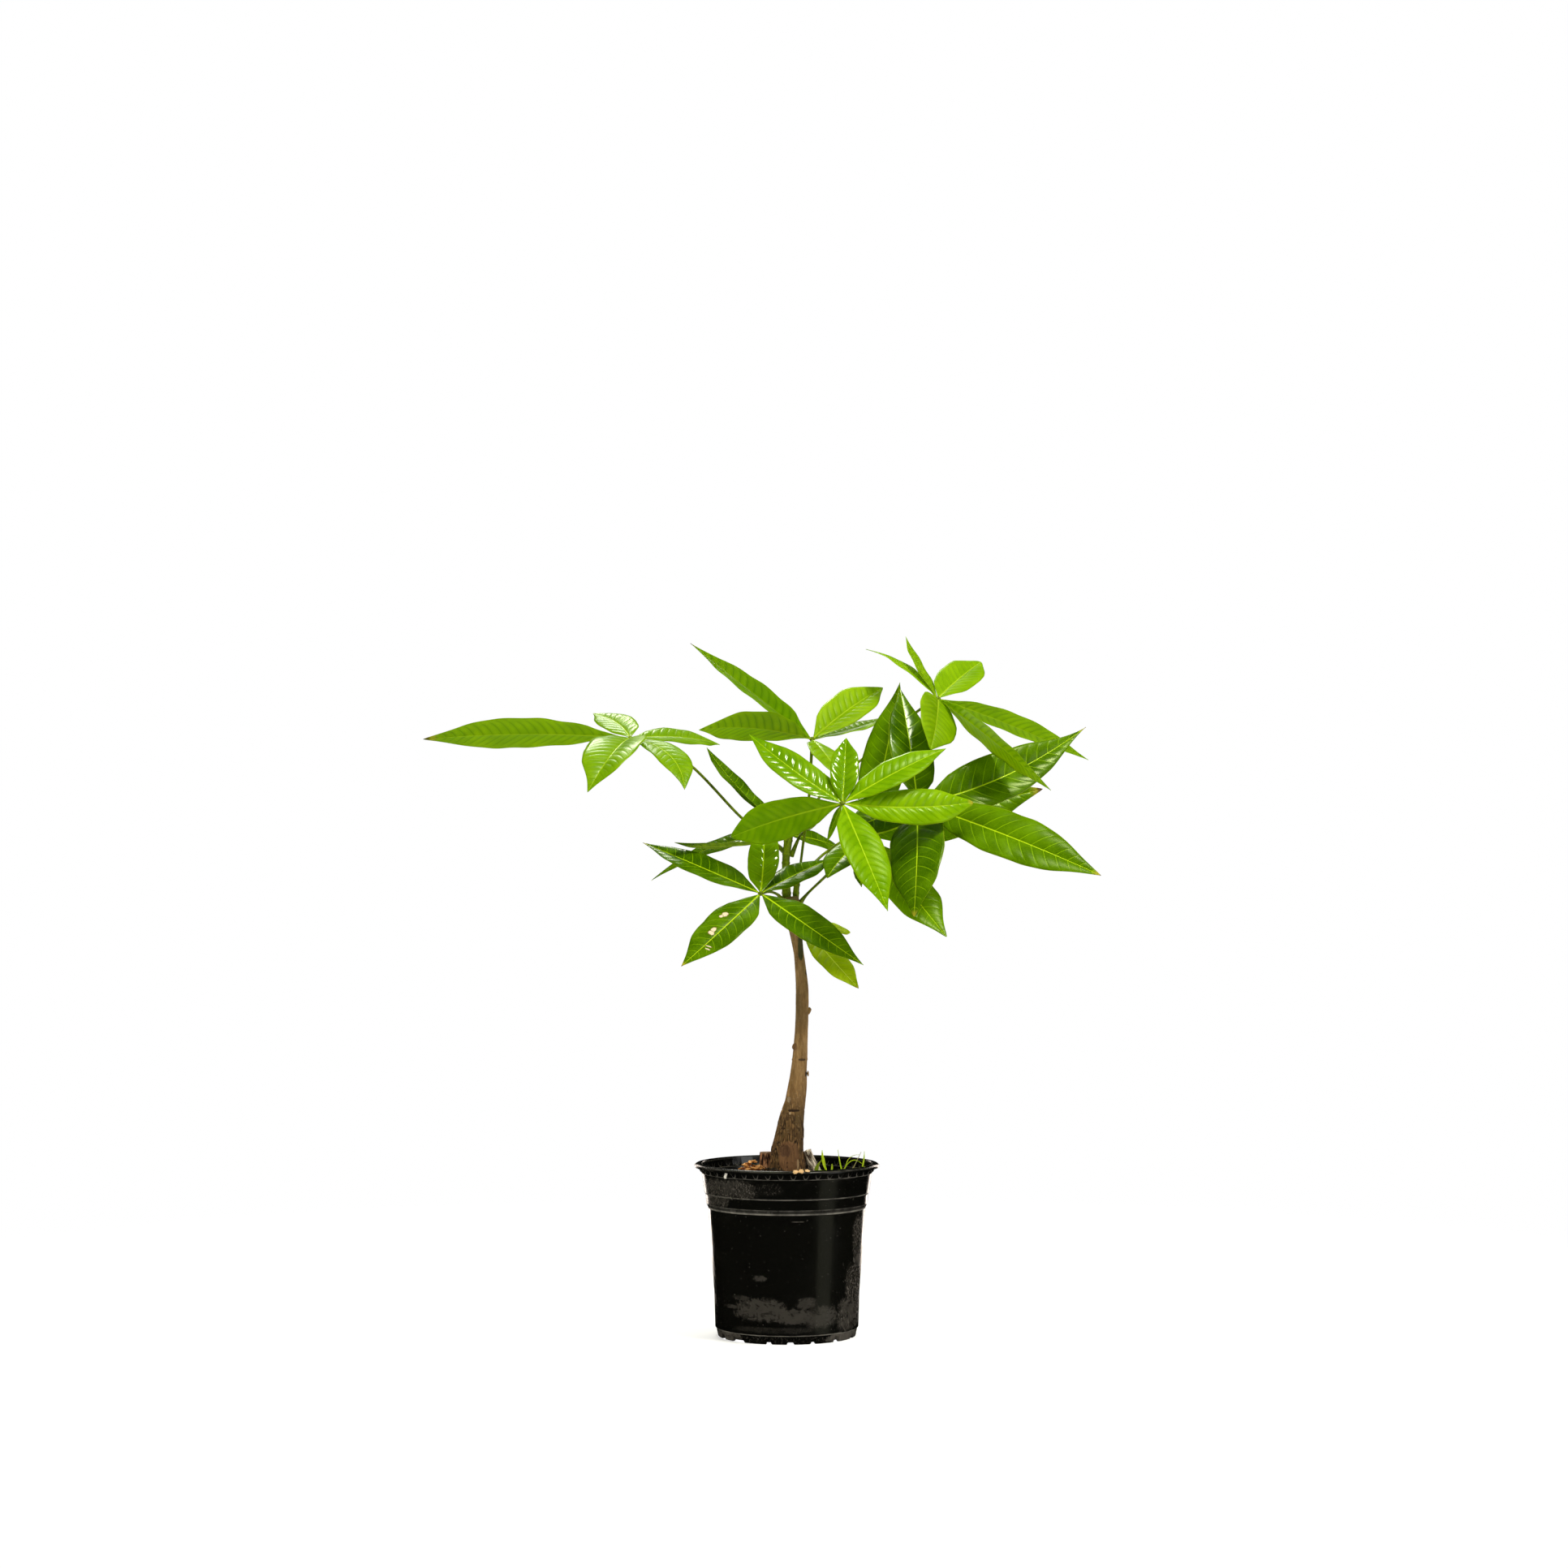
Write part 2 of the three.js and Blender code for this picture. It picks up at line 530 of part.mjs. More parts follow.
const FLAKES = {
  flake_1: [[9, -102.4, RIM_TOP + 0.7], [2.4, 2.4, 0.9], 0],
  flake_2: [[15, -101.8, RIM_TOP + 0.7], [2.6, 2.2, 0.9], 0.4],
  flake_3: [[23, -100, RIM_TOP + 0.7], [2.2, 1.6, 0.9], 0.2],
};
const potSpace = pot.translate([0, 0, FIT]);

// Colours of the object

const paint = (colour, roughness) =>
  new THREE.MeshStandardMaterial({ color: colour, roughness, metalness: 0 });
const BLACK_PLASTIC = paint(0x14140f, 0.35);
const EARTH = paint(0x17120d, 0.95);
const BARK = paint(0x5d4b35, 0.85);
const GREEN_STEM = paint(0x4d6a1c, 0.6);
const LEAF = paint(0x4f8a10, 0.4);
const CHIP = paint(0xa9713c, 0.85);
const ROOT_PALE = paint(0x9c8a70, 0.9);
const GRASS = paint(0x8fc02a, 0.5);
const STRAW = paint(0xb8b08a, 0.8);
const TAN = paint(0xc9a068, 0.8);

const tree = new THREE.Group();

function add(name, solid, material) {
  const mesh = new THREE.Mesh(geometryOf(solid), material);
  mesh.name = name;
  tree.add(mesh);
}

add("pot", pot, BLACK_PLASTIC);
add("soil", soil, EARTH);
add("trunk", trunk, BARK);
add("main_shoot", biggest(limb(MAIN_SHOOT.line, MAIN_SHOOT.radii, 8, 7).subtract(trunkSpace)), GREEN_STEM);
add("side_shoot", biggest(limb(SIDE_SHOOT.line, SIDE_SHOOT.radii, 8, 3).subtract(trunkSpace)), GREEN_STEM);
for (const [name, leaf] of Object.entries(LEAVES)) add(name, leafOf(leaf), LEAF);
add("stump", stump, BARK);
add("root_flare", root, ROOT_PALE);
add("litter", resting(litter), CHIP);
for (const [name, blades] of Object.entries(WEEDS)) {
  add(name, resting(together(blades)), name === "straw" ? STRAW : GRASS);
}
for (const [name, [centre, size, turn]] of Object.entries(FLAKES)) {
  add(name, biggest(lumpOf(centre, size, [0.1, 0, turn], 8).subtract(potSpace)), TAN);
}

export default tree;
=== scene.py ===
"""A potted money tree: nine palmate leaves on a young bare trunk, in a black nursery pot of soil.

Every shape is a function of two parameters on a numpy grid. Lengths are metres, angles degrees,
+Z is up and the viewer stands on the -Y side.
"""
import math

import bpy
import numpy as np
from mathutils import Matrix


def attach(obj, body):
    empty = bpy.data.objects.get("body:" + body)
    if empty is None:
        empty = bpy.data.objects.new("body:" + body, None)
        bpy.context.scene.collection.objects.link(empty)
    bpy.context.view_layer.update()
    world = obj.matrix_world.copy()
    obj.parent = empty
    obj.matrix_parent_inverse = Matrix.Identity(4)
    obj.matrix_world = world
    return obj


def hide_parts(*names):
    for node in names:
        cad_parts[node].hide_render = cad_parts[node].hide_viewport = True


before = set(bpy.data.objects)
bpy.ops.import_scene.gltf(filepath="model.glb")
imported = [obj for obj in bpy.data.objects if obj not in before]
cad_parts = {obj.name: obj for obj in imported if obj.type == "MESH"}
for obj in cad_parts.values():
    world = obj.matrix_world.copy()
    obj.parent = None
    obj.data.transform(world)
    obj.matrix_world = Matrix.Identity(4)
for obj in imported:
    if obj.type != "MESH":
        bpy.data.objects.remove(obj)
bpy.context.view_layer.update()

# Driving dimensions

UP = np.array([0.0, 0.0, 1.0])

POT_SCALLOPS = 44
POT_SIDES = 13 * POT_SCALLOPS
TONGUE_FOOT = 0.1832
TONGUE_TALL = 0.0056
TONGUE_SHARE = 0.24
TONGUE_POWER = 2.4
FLUTE_DEEP = 0.0007
OUT_OF_ROUND = 0.0022
WALL = 0.002
FOOT_RADIUS = 0.0775
SKIRT_HEIGHT = 0.0092
SEAM_RADIUS = 0.0794
BODY_FOOT_RADIUS = 0.0806
BODY_LOW = (0.0818, 0.048)
BODY_HIGH = (0.0851, 0.092)
STEP_FOOT = (0.0886, 0.1435)
STEP_TOP = (0.0909, 0.1485)
RING_FOOT = (0.0917, 0.1592)
RING_TOP = (0.0929, 0.1606)
LEDGE = (0.0960, 0.1824)
RIM_RADIUS = 0.1048
RIM_UNDER = 0.1888
RIM_TOP = 0.1930
RIM_BORE = 0.0966
FLOOR_UNDER = 0.0045
FLOOR_TOP = 0.0070
PAD_RADIUS = 0.0150
DRAIN_RADIUS = 0.0050
DRAIN_RING = 0.0560
DRAINS = 8
DRAIN_ROD = (0.002, 0.010)
NOTCH_TALL = 0.0030
NOTCHES = (-44, -15, 3, 22, 45, 68, 92, 114, 137, 160, 183, 205, 228, 251, 273, 295)
NOTCH_WIDE = (17, 6, 7, 5, 8, 6, 14, 6, 7, 5, 8, 17, 6, 7, 5, 8)  # in thousandths of a metre

ROOT_SLANT = math.radians(22.6)
FLOOR_FADE = (0.45, 1.5)

# Tints of the lights, then of the shine on ordinary leaflets and on the glossiest ones
WARM = (1.0, 0.88, 0.78)
SUNNY = (1.0, 0.985, 0.88)
YELLOWISH = (1.0, 1.0, 0.72)
LEAF_SHEEN = (0.88, 1.0, 0.42, 1.0)
WAXY_SHEEN = (0.95, 1.0, 0.86, 1.0)

# Smears and dust on the front of the pot: x, z, half width, half height, raggedness, strength, share of grit
SMEARS = (
    (-0.028, 0.038, 0.027, 0.0120, 3.4, 0.34, 0.1),
    (-0.036, 0.033, 0.022, 0.0060, 3.2, 0.26, 0.1),
    (0.006, 0.031, 0.0190, 0.0080, 3.4, 0.34, 0.1),
    (0.036, 0.030, 0.0200, 0.0120, 3.2, 0.26, 0.1),
    (0.022, 0.045, 0.0110, 0.0070, 3.0, 0.24, 0.1),
    (-0.030, 0.073, 0.0070, 0.0034, 5.0, 0.30, 0.1),
    (-0.050, 0.050, 0.0090, 0.0028, 3.0, 0.22, 0.1),
    (-0.059, 0.039, 0.0090, 0.0022, 3.0, 0.22, 0.1),
    (-0.012, 0.016, 0.046, 0.0034, 2.4, 0.12, 0.3),
    (0.068, 0.029, 0.0120, 0.0190, 2.8, 0.95, 0.75),
    (0.073, 0.060, 0.0080, 0.0240, 2.8, 1.25, 0.9),
    (0.079, 0.105, 0.0055, 0.0340, 2.6, 1.20, 0.9),
    (-0.064, 0.170, 0.0300, 0.0110, 2.6, 1.10, 0.85),
    (-0.080, 0.155, 0.0150, 0.0070, 2.6, 1.00, 0.85),
    (-0.020, 0.172, 0.0160, 0.0070, 2.6, 0.25, 0.9),
    (-0.064, 0.005, 0.0140, 0.0050, 2.6, 1.60, 0.6),
    (0.062, 0.005, 0.0170, 0.0050, 2.6, 1.60, 0.6),
    (0.012, 0.1360, 0.0070, 0.0005, 0.6, 0.80, 0.1),
)

# Pale level lines on the pot, wear except a painted highlight on the lip's top edge: height, half width,
# strength
WORN_AND_HIGHLIGHT_LINES = (
    (0.1603, 0.0010, 0.65),
    (0.1482, 0.0009, 0.35),
    (0.1438, 0.0013, 1.00),
    (0.1458, 0.0026, 0.16),
    (0.1825, 0.0007, 0.45),
    # painted highlight along the lip's top edge
    (0.1916, 0.0010, 0.20),
    (0.0097, 0.0008, 0.95),
)

# Radius and height along the top of the mound, then down the wall that the pot holds it with
SOIL_PROFILE = ((0.0, 0.1850), (0.024, 0.1838), (0.038, 0.1793), (0.058, 0.1738), (0.078, 0.1708),
                (0.0915, 0.1698))
SOIL_WALL = ((0.0905, 0.166), (0.0878, 0.1480), (0.0846, 0.1410), (0.0826, 0.092), (0.0793, 0.048),
             (0.0780, 0.0105), (0.0748, 0.0076), (0.0008, 0.0076))

# Lumps of the soil: depth, scale and seed of their noise
SOIL_LUMPS = ((0.0042, 70, 3), (0.0030, 210, 5), (0.0016, 520, 8))

# Limbs: x, y, z and radius from the foot up
TRUNK = (
    (0.0010, 0.0, 0.120, 0.0198),
    (0.0010, 0.0, 0.160, 0.0200),
    (0.0010, 0.0, 0.184, 0.0203),
    (0.0010, 0.0, 0.205, 0.0183),
    (0.0027, 0.0, 0.219, 0.0169),
    (0.0060, 0.0, 0.242, 0.0144),
    (0.0094, 0.0, 0.260, 0.0115),
    (0.0120, 0.0, 0.279, 0.0104),
    (0.0136, 0.0, 0.298, 0.0091),
    (0.0150, 0.0, 0.316, 0.0086),
    (0.0170, 0.0, 0.353, 0.0073),
    (0.0173, 0.0, 0.388, 0.0069),
    (0.0150, 0.0, 0.416, 0.0065),
    (0.0128, 0.0, 0.434, 0.0062),
    (0.0090, 0.0, 0.460, 0.0076),
    (0.0050, 0.0, 0.484, 0.0096),
    (0.0038, 0.0, 0.493, 0.0090),
)
MAIN_SHOOT = (
    (0.0000, 0, 0.486, 0.0052),
    (-0.0010, 0, 0.508, 0.0049),
    (-0.0012, 0, 0.533, 0.0043),
    (0.0004, 0, 0.548, 0.0046),
    (0.0030, 0, 0.565, 0.0046),
    (0.0080, 0.001, 0.578, 0.0034),
)
SIDE_SHOOT = (
    (0.0095, 0, 0.484, 0.0038),
    (0.0108, 0, 0.504, 0.0034),
    (0.0130, 0, 0.518, 0.0032),
)
STUMP = (
    (-0.0215, 0.011, 0.166, 0.0096),
    (-0.0215, 0.011, 0.185, 0.0094),
    (-0.0215, 0.011, 0.204, 0.0090),
)
ROOT_LINE = (
    (0.0380, 0.004, 0.1700, 0.0056),
    (0.0330, 0.004, 0.1820, 0.0060),
    (0.0275, 0.003, 0.1940, 0.0053),
    (0.0228, 0.001, 0.2065, 0.0044),
)

# Knots and bud scars on the trunk: centre, half sizes, turn, roughness, seed, sides, rings
TRUNK_KNOTS = (
    ((0.0247, -0.0010, 0.3640), (0.0028, 0.0028, 0.0044), (0, 17, 0), 0.6, 3, 24, 15),
    ((-0.0004, -0.0020, 0.4610), (0.0040, 0.0024, 0.0024), (0, 28, 0), 0.6, 5, 24, 15),
    ((0.0088, -0.0030, 0.3240), (0.0029, 0.0029, 0.0035), (0, 0, 0), 0.6, 8, 24, 15),
    ((0.0238, -0.0020, 0.2935), (0.0012, 0.0020, 0.0030), (0, 0, 0), 0.5, 9, 20, 11),
    ((0.0010, -0.0112, 0.2645), (0.0016, 0.0007, 0.0036), (0, -32, 0), 0.3, 12, 20, 11),
)

# Level rings of the trunk: height, half width, rise; and the heights of the shoots' leaf scars
BARK_RINGS = ((0.3095, 0.0012, 0.0005), (0.2525, 0.0009, -0.0005))
SHOOT_RINGS = (0.497, 0.506, 0.5175, 0.531, 0.541, 0.556)

# Spots on the bark: x, z, half width, half height, raggedness, strength, colour
BARK_SPOTS = (
    (0.0155, 0.4370, 0.0030, 0.0175, 1.2, 0.85, (0.025, 0.040, 0.010)),
    (0.0235, 0.4080, 0.0026, 0.0045, 0.8, 0.85, (0.025, 0.030, 0.010)),
    (0.0075, 0.2525, 0.0064, 0.0014, 2.2, 0.90, (0.022, 0.012, 0.008)),
    (0.0035, 0.2495, 0.0011, 0.0015, 0.4, 0.90, (0.48, 0.34, 0.19)),
    (0.0022, 0.2645, 0.0022, 0.0034, 0.5, 0.90, (0.36, 0.25, 0.14)),
    (0.0170, 0.3095, 0.0042, 0.0014, 2.0, 0.80, (0.030, 0.018, 0.012)),
    (0.0220, 0.2930, 0.0016, 0.0030, 0.5, 0.80, (0.030, 0.018, 0.010)),
    (0.0090, 0.3240, 0.0030, 0.0042, 0.5, 0.60, (0.150, 0.070, 0.032)),
    (0.0022, 0.2020, 0.0118, 0.0170, 0.6, 0.85, (0.240, 0.120, 0.052)),
    (-0.0014, 0.2080, 0.0060, 0.0072, 3.0, 0.60, (0.085, 0.042, 0.026)),
    (0.0005, 0.1900, 0.0007, 0.0012, 0.4, 0.80, (0.050, 0.022, 0.014)),
    (0.0005, 0.1945, 0.0006, 0.0010, 0.4, 0.80, (0.050, 0.022, 0.014)),
    (0.0125, 0.1925, 0.0014, 0.0060, 0.6, 0.80, (0.42, 0.27, 0.14)),
)

# Bark chips of the litter: centre, half sizes, turn, tone
CHIPS = (
    ((-0.050, 0.002, 0.180), (0.0070, 0.0060, 0.0034), 17, 0.75),
    ((-0.041, -0.003, 0.180), (0.0080, 0.0060, 0.0030), -29, 0.95),
    ((-0.033, 0.001, 0.182), (0.0070, 0.0050, 0.0030), 46, 0.60),
    ((-0.044, 0.009, 0.181), (0.0060, 0.0060, 0.0034), 69, 0.35),
    ((-0.029, -0.010, 0.181), (0.0070, 0.0050, 0.0026), 6, 0.20),
    ((-0.038, -0.013, 0.179), (0.0070, 0.0050, 0.0024), -52, 0.85),
)

# Heap of loose flakes: how many, its middle at the foot, half width, half depth and height
PILE_FLAKES = 46
PILE_MIDDLE = (-0.039, 0.001, 0.1815)
PILE_SIZE = (0.016, 0.012, 0.0145)

# Flakes stuck on the rim: centre, half sizes, turn, tone; all of them tilt alike
FLAKES = {
    "flake_1": ((0.0088, -0.1038, 0.1926), (0.0028, 0.0030, 0.0010), -20, 0.7),
    "flake_2": ((0.0150, -0.1034, 0.1930), (0.0034, 0.0026, 0.0011), 24, 0.45),
    "flake_3": ((0.0226, -0.1014, 0.1937), (0.0027, 0.0018, 0.0010), 4, 0.9),
}
FLAKE_TILT = 34

# Pale fleck under the rim: angle round the pot from the front, radius and height
FLECK_TURN = -43.4
FLECK_RADIUS = 0.0985
FLECK_HEIGHT = 0.1862

# Camera: its place, the point that it looks at, and its focal length in millimetres
EYE = (0.0, -3.5, 0.518)
AIM = (-0.0032, 0.0, 0.6205)
LENS = 70.99

# Blades: thickness, grid, values that a leaflet has unless it gives its own, and relief
BLADE_THICK = 0.00045
BLADE_COLUMNS = 24
ROW_STEP = 0.0016
HUB_START = 0.0018
USUAL_LEAFLET = dict(widest=0.5, slim=1.7, neck=0.22, point=0.42, quilt=1.0, tone=0.5, sheen=1.0, dry=0.0)
ARCH = 0.22
VEIN_SWEEP = (0.62, 0.30)
WAVE_LENGTH = 0.043
PLUMP_FROM = 0.012
USUAL_PITCH = 0.011
QUILT_DEEP = 0.0007
MARGIN_WAVE = 0.0006
RIB_HALF_WIDTH = 0.0011
RIB_BELOW = 0.0010
RIB_GROOVE = 0.00022

# Petioles: radius at the foot, along the way and at the hub
PETIOLE_RADII = (0.0031, 0.0016, 0.0020)

# Eaten patches and cracks of the torn leaflet: along, across, half length, half width
TEARS = (
    (0.350, 0.44, 0.026, 0.13),
    (0.385, 0.50, 0.016, 0.08),
    (0.540, 0.27, 0.032, 0.10),
    (0.575, 0.24, 0.020, 0.14),
    (0.705, -0.28, 0.006, 0.26),
    (0.735, -0.45, 0.006, 0.20),
)

# Leaves: hub, petiole line and leaflets, placed as in the solids. "skin" picks the finish, "pitch" is the
# distance between side veins. "bow" bends a leaflet's midrib, "lean" turns it about its chord, "fold" lifts
# its halves. "widest" is where it is widest, "slim" the power of its outline, "neck" how far its narrow start
# reaches, "point" how much finer its end is, "quilt" how much it bulges between the veins. "tone" is how
# light it is, "sheen" how glossy, "dry" the dried share at its tip, which only yellows below zero, and "torn"
# marks the eaten one.
LEAVES = {
    "leaf_far_left": dict(
        skin="lit",
        quilt=0.55,
        pitch=0.0105,
        hub=(-0.178, 0.010, 0.673),
        petiole=((-0.002, 0.003, 0.543), (-0.022, 0.016, 0.561), (-0.053, 0.015, 0.584),
                 (-0.107, 0.009, 0.640), (-0.150, 0.010, 0.666)),
        leaflets=(
            dict(tip=(-0.406, -0.051, 0.669), bow=(0, 0, 0.005), wide=0.056, lean=-35, fold=4,
                 widest=0.57, slim=1.9, dry=0.035, tone=0.45, sheen=0.6),
            dict(tip=(-0.226, 0.106, 0.706), bow=(0.005, 0.006, 0.004), wide=0.042, lean=14, fold=2,
                 widest=0.48, slim=1.5, tone=0.2, sheen=1.25, quilt=1.2),
            dict(tip=(-0.218, -0.119, 0.608), bow=(0.004, -0.024, 0.010), wide=0.064, lean=2, fold=14,
                 widest=0.40, slim=1.3, neck=0.10, tone=0.2, sheen=1.1, point=0.55, quilt=1.0),
            dict(tip=(-0.113, -0.084, 0.612), bow=(0.014, -0.008, 0.009), wide=0.040, lean=-8, fold=4,
                 slim=1.7, sheen=0.7, tone=0.05, quilt=0.5),
            dict(tip=(-0.078, 0.095, 0.669), bow=(0.005, 0.004, 0.005), wide=0.046, lean=-26, fold=4,
                 widest=0.55, sheen=1.0, tone=0.2),
        ),
    ),
    "leaf_top": dict(
        skin="lit",
        quilt=0.7,
        pitch=0.0110,
        hub=(0.029, 0.040, 0.673),
        petiole=((0.0126, 0.004, 0.513), (0.015, 0.0035, 0.526), (0.019, 0.003, 0.557), (0.022, 0.006, 0.576),
                 (0.025, 0.016, 0.604), (0.027, 0.028, 0.632)),
        leaflets=(
            dict(tip=(-0.108, -0.041, 0.777), bow=(-0.001, 0, 0.001), wide=0.052, lean=-4, fold=10,
                 widest=0.45, slim=1.9, dry=0.012, tone=0.78),
            dict(tip=(-0.098, -0.057, 0.679), bow=(-0.002, -0.006, 0.007), wide=0.056, lean=-34, fold=6,
                 widest=0.54, slim=1.8, tone=0.78),
            dict(tip=(0.113, 0.138, 0.738), bow=(0, 0.006, 0.004), wide=0.048, lean=-34, fold=14,
                 widest=0.52, slim=1.5, tone=0.72),
            dict(tip=(0.121, 0.160, 0.705), bow=(0.002, 0.006, -0.001), wide=0.044, lean=-4, fold=4,
                 widest=0.52, tone=0.8),
            dict(tip=(0.064, -0.039, 0.623), bow=(-0.001, -0.010, 0.003), wide=0.040, lean=8, fold=4,
                 tone=0.4),
        ),
    ),
    "leaf_top_right": dict(
        skin="lit",
        quilt=0.55,
        pitch=0.0095,
        hub=(0.174, 0.060, 0.721),
        petiole=((0.005, 0.003, 0.539), (0.014, 0.012, 0.560), (0.022, 0.022, 0.571), (0.035, 0.036, 0.603),
                 (0.062, 0.064, 0.633), (0.090, 0.100, 0.654), (0.127, 0.120, 0.686), (0.152, 0.104, 0.708)),
        leaflets=(
            dict(tip=(0.093, 0.133, 0.783), bow=(0.002, 0.004, 0.009), wide=0.032, lean=-6, fold=4,
                 slim=1.7, sheen=0.6),
            dict(tip=(0.140, 0.133, 0.798), bow=(-0.004, 0.004, 0), wide=0.03, lean=-32, fold=10,
                 widest=0.45, slim=1.7, tone=0.4, sheen=0.6),
            dict(tip=(0.229, 0.146, 0.769), bow=(0, 0.006, 0.002), wide=0.048, lean=-26, fold=10,
                 widest=0.52, slim=1.2, tone=0.3, sheen=0.3, quilt=0.4),
            dict(tip=(0.161, -0.040, 0.658), bow=(0.002, -0.014, 0.003), wide=0.056, lean=46, fold=6,
                 widest=0.46, slim=1.2, neck=0.10, tone=0.45, quilt=1.1),
            dict(tip=(0.295, -0.047, 0.612), bow=(-0.003, -0.011, 0.005), wide=0.052, lean=44, fold=-4,
                 slim=1.7, tone=0.8, quilt=1.0),
            dict(tip=(0.353, 0.117, 0.652), bow=(0, 0.004, 0.004), wide=0.04, lean=26, fold=10,
                 widest=0.48, slim=1.9, tone=0.6, sheen=0.6),
        ),
    ),
    "leaf_front": dict(
        skin="young",
        quilt=1.25,
        pitch=0.0105,
        hub=(0.061, -0.110, 0.596),
        petiole=((0.008, 0, 0.574), (0.010, -0.005, 0.573), (0.019, -0.025, 0.574), (0.038, -0.065, 0.582),
                 (0.052, -0.095, 0.592)),
        leaflets=(
            dict(tip=(-0.042, -0.056, 0.674), bow=(-0.001, -0.006, -0.003), wide=0.044, lean=34, fold=8,
                 widest=0.48, quilt=1.8, sheen=1.6, tone=0.35),
            dict(tip=(0.066, -0.060, 0.670), bow=(0, -0.004, -0.001), wide=0.034, lean=-6, fold=20,
                 slim=1.5, quilt=2.0, sheen=2.0, tone=0.35),
            dict(tip=(0.177, -0.063, 0.658), bow=(0, -0.006, 0.003), wide=0.038, lean=-42, fold=6,
                 tone=0.5, quilt=0.5, sheen=0.3),
            dict(tip=(0.207, -0.067, 0.598), bow=(0.001, -0.008, -0.005), wide=0.044, lean=-66, fold=2,
                 widest=0.58, slim=1.4, tone=0.85, dry=-0.004, quilt=1.3, sheen=0.4),
            dict(tip=(0.108, -0.191, 0.479), bow=(0, -0.008, 0.001), wide=0.050, lean=-8, fold=8,
                 widest=0.46, tone=0.5, quilt=0.6, sheen=0.25),
            # Its tone is raised partly as painted light, for its brightly lit left side.
            dict(tip=(-0.062, -0.048, 0.560), bow=(-0.003, -0.010, 0.002), wide=0.046, lean=104, fold=10,
                 widest=0.58, slim=1.4, tone=0.6, quilt=1.1, sheen=0.8),
            dict(tip=(0.041, -0.086, 0.630), bow=(0, 0, 0.001), wide=0.010, lean=14, fold=4),
            dict(tip=(0.044, -0.079, 0.553), bow=(0, 0, 0.001), wide=0.012, lean=94, fold=4),
            dict(tip=(0.070, -0.104, 0.611), bow=(0, 0, 0), wide=0.005, lean=0, fold=0),
        ),
    ),
    "leaf_right": dict(
        skin="mature",
        quilt=0.7,
        pitch=0.0150,
        hub=(0.147, -0.015, 0.598),
        petiole=((0.0165, 0, 0.514), (0.024, 0.006, 0.524), (0.034, 0.015, 0.534), (0.047, 0.021, 0.545),
                 (0.083, 0.018, 0.569), (0.114, 0.002, 0.587)),
        leaflets=(
            dict(tip=(0.131, 0.078, 0.733), bow=(0.002, 0.006, -0.001), wide=0.056, lean=-16, fold=4,
                 widest=0.45, slim=1.5, quilt=0.35, tone=0.1, sheen=1.2),
            dict(tip=(0.345, 0.065, 0.688), bow=(0, -0.010, -0.014), wide=0.062, lean=-60, fold=12,
                 widest=0.42, slim=2.1, dry=0.008, quilt=0.7, tone=0.3, sheen=0.5),
            dict(tip=(0.346, -0.092, 0.517), bow=(0, -0.008, 0.003), wide=0.064, lean=-50, fold=4,
                 slim=1.75, dry=0.008, tone=0.6, sheen=0.15, quilt=0.3),
            dict(tip=(0.138, -0.143, 0.472), bow=(0.001, -0.016, 0.004), wide=0.066, lean=-22, fold=2,
                 widest=0.42, slim=1.4, dry=-0.012, tone=0.25, sheen=0.6, quilt=0.3),
            dict(tip=(0.065, -0.077, 0.564), bow=(0.003, -0.004, 0.003), wide=0.048, lean=36, fold=2,
                 slim=1.5, tone=0.1, sheen=0.25),
        ),
    ),
    "leaf_back_right": dict(
        skin="mature",
        quilt=0.5,
        pitch=0.0130,
        hub=(0.093, 0.034, 0.561),
        petiole=((0.015, 0.002, 0.486), (0.024, 0.005, 0.497), (0.044, 0.016, 0.516), (0.072, 0.028, 0.543)),
        leaflets=(
            dict(tip=(0.045, -0.046, 0.514), bow=(-0.004, -0.006, 0.002), wide=0.038, lean=12, fold=6,
                 slim=1.4, tone=0.45, sheen=0.2, quilt=0.3),
            dict(tip=(0.084, -0.021, 0.504), bow=(-0.003, -0.004, 0), wide=0.026, lean=-40, fold=2),
            dict(tip=(0.177, -0.072, 0.449), bow=(-0.003, -0.008, 0.002), wide=0.056, lean=-22, fold=2,
                 widest=0.55, slim=1.5, tone=1.0, sheen=0.3, point=0.6),
            dict(tip=(0.296, 0.077, 0.617), bow=(-0.006, 0.004, 0), wide=0.064, lean=-80, fold=14,
                 widest=0.48, slim=1.5, dry=0.028, tone=0.9, sheen=0.5),
            dict(tip=(0.132, 0.104, 0.742), bow=(0.001, 0.008, -0.001), wide=0.058, lean=-4, fold=2,
                 widest=0.47, slim=1.9, tone=0.55),
        ),
    ),
    "leaf_low_left": dict(
        skin="mature",
        quilt=0.6,
        pitch=0.0120,
        hub=(-0.029, -0.075, 0.497),
        petiole=((-0.006, -0.004, 0.490), (-0.011, -0.030, 0.496), (-0.020, -0.056, 0.499)),
        leaflets=(
            dict(tip=(-0.163, 0.002, 0.554), bow=(-0.001, -0.004, 0.001), wide=0.044, lean=24, fold=8,
                 widest=0.45, slim=1.7, dry=0.015, tone=0.15, sheen=0.3, quilt=0.35),
            # Its tone of 1.2 is painted sheen: the paler base stands in for the whitish gloss on it.
            dict(tip=(-0.025, 0.004, 0.579), bow=(0.001, -0.002, -0.003), wide=0.036, lean=8, fold=4,
                 slim=1.4, quilt=2.2, tone=1.2, sheen=2.2),
            dict(tip=(0.049, 0.005, 0.535), bow=(0, -0.004, 0.002), wide=0.038, lean=-20, fold=4,
                 widest=0.48, slim=1.5, tone=0.15, sheen=0.15, quilt=0.2),
            dict(tip=(0.083, -0.149, 0.420), bow=(-0.001, -0.010, 0.001), wide=0.046, lean=-30, fold=6,
                 widest=0.43, slim=1.7, tone=0.2, sheen=0.25, quilt=0.3),
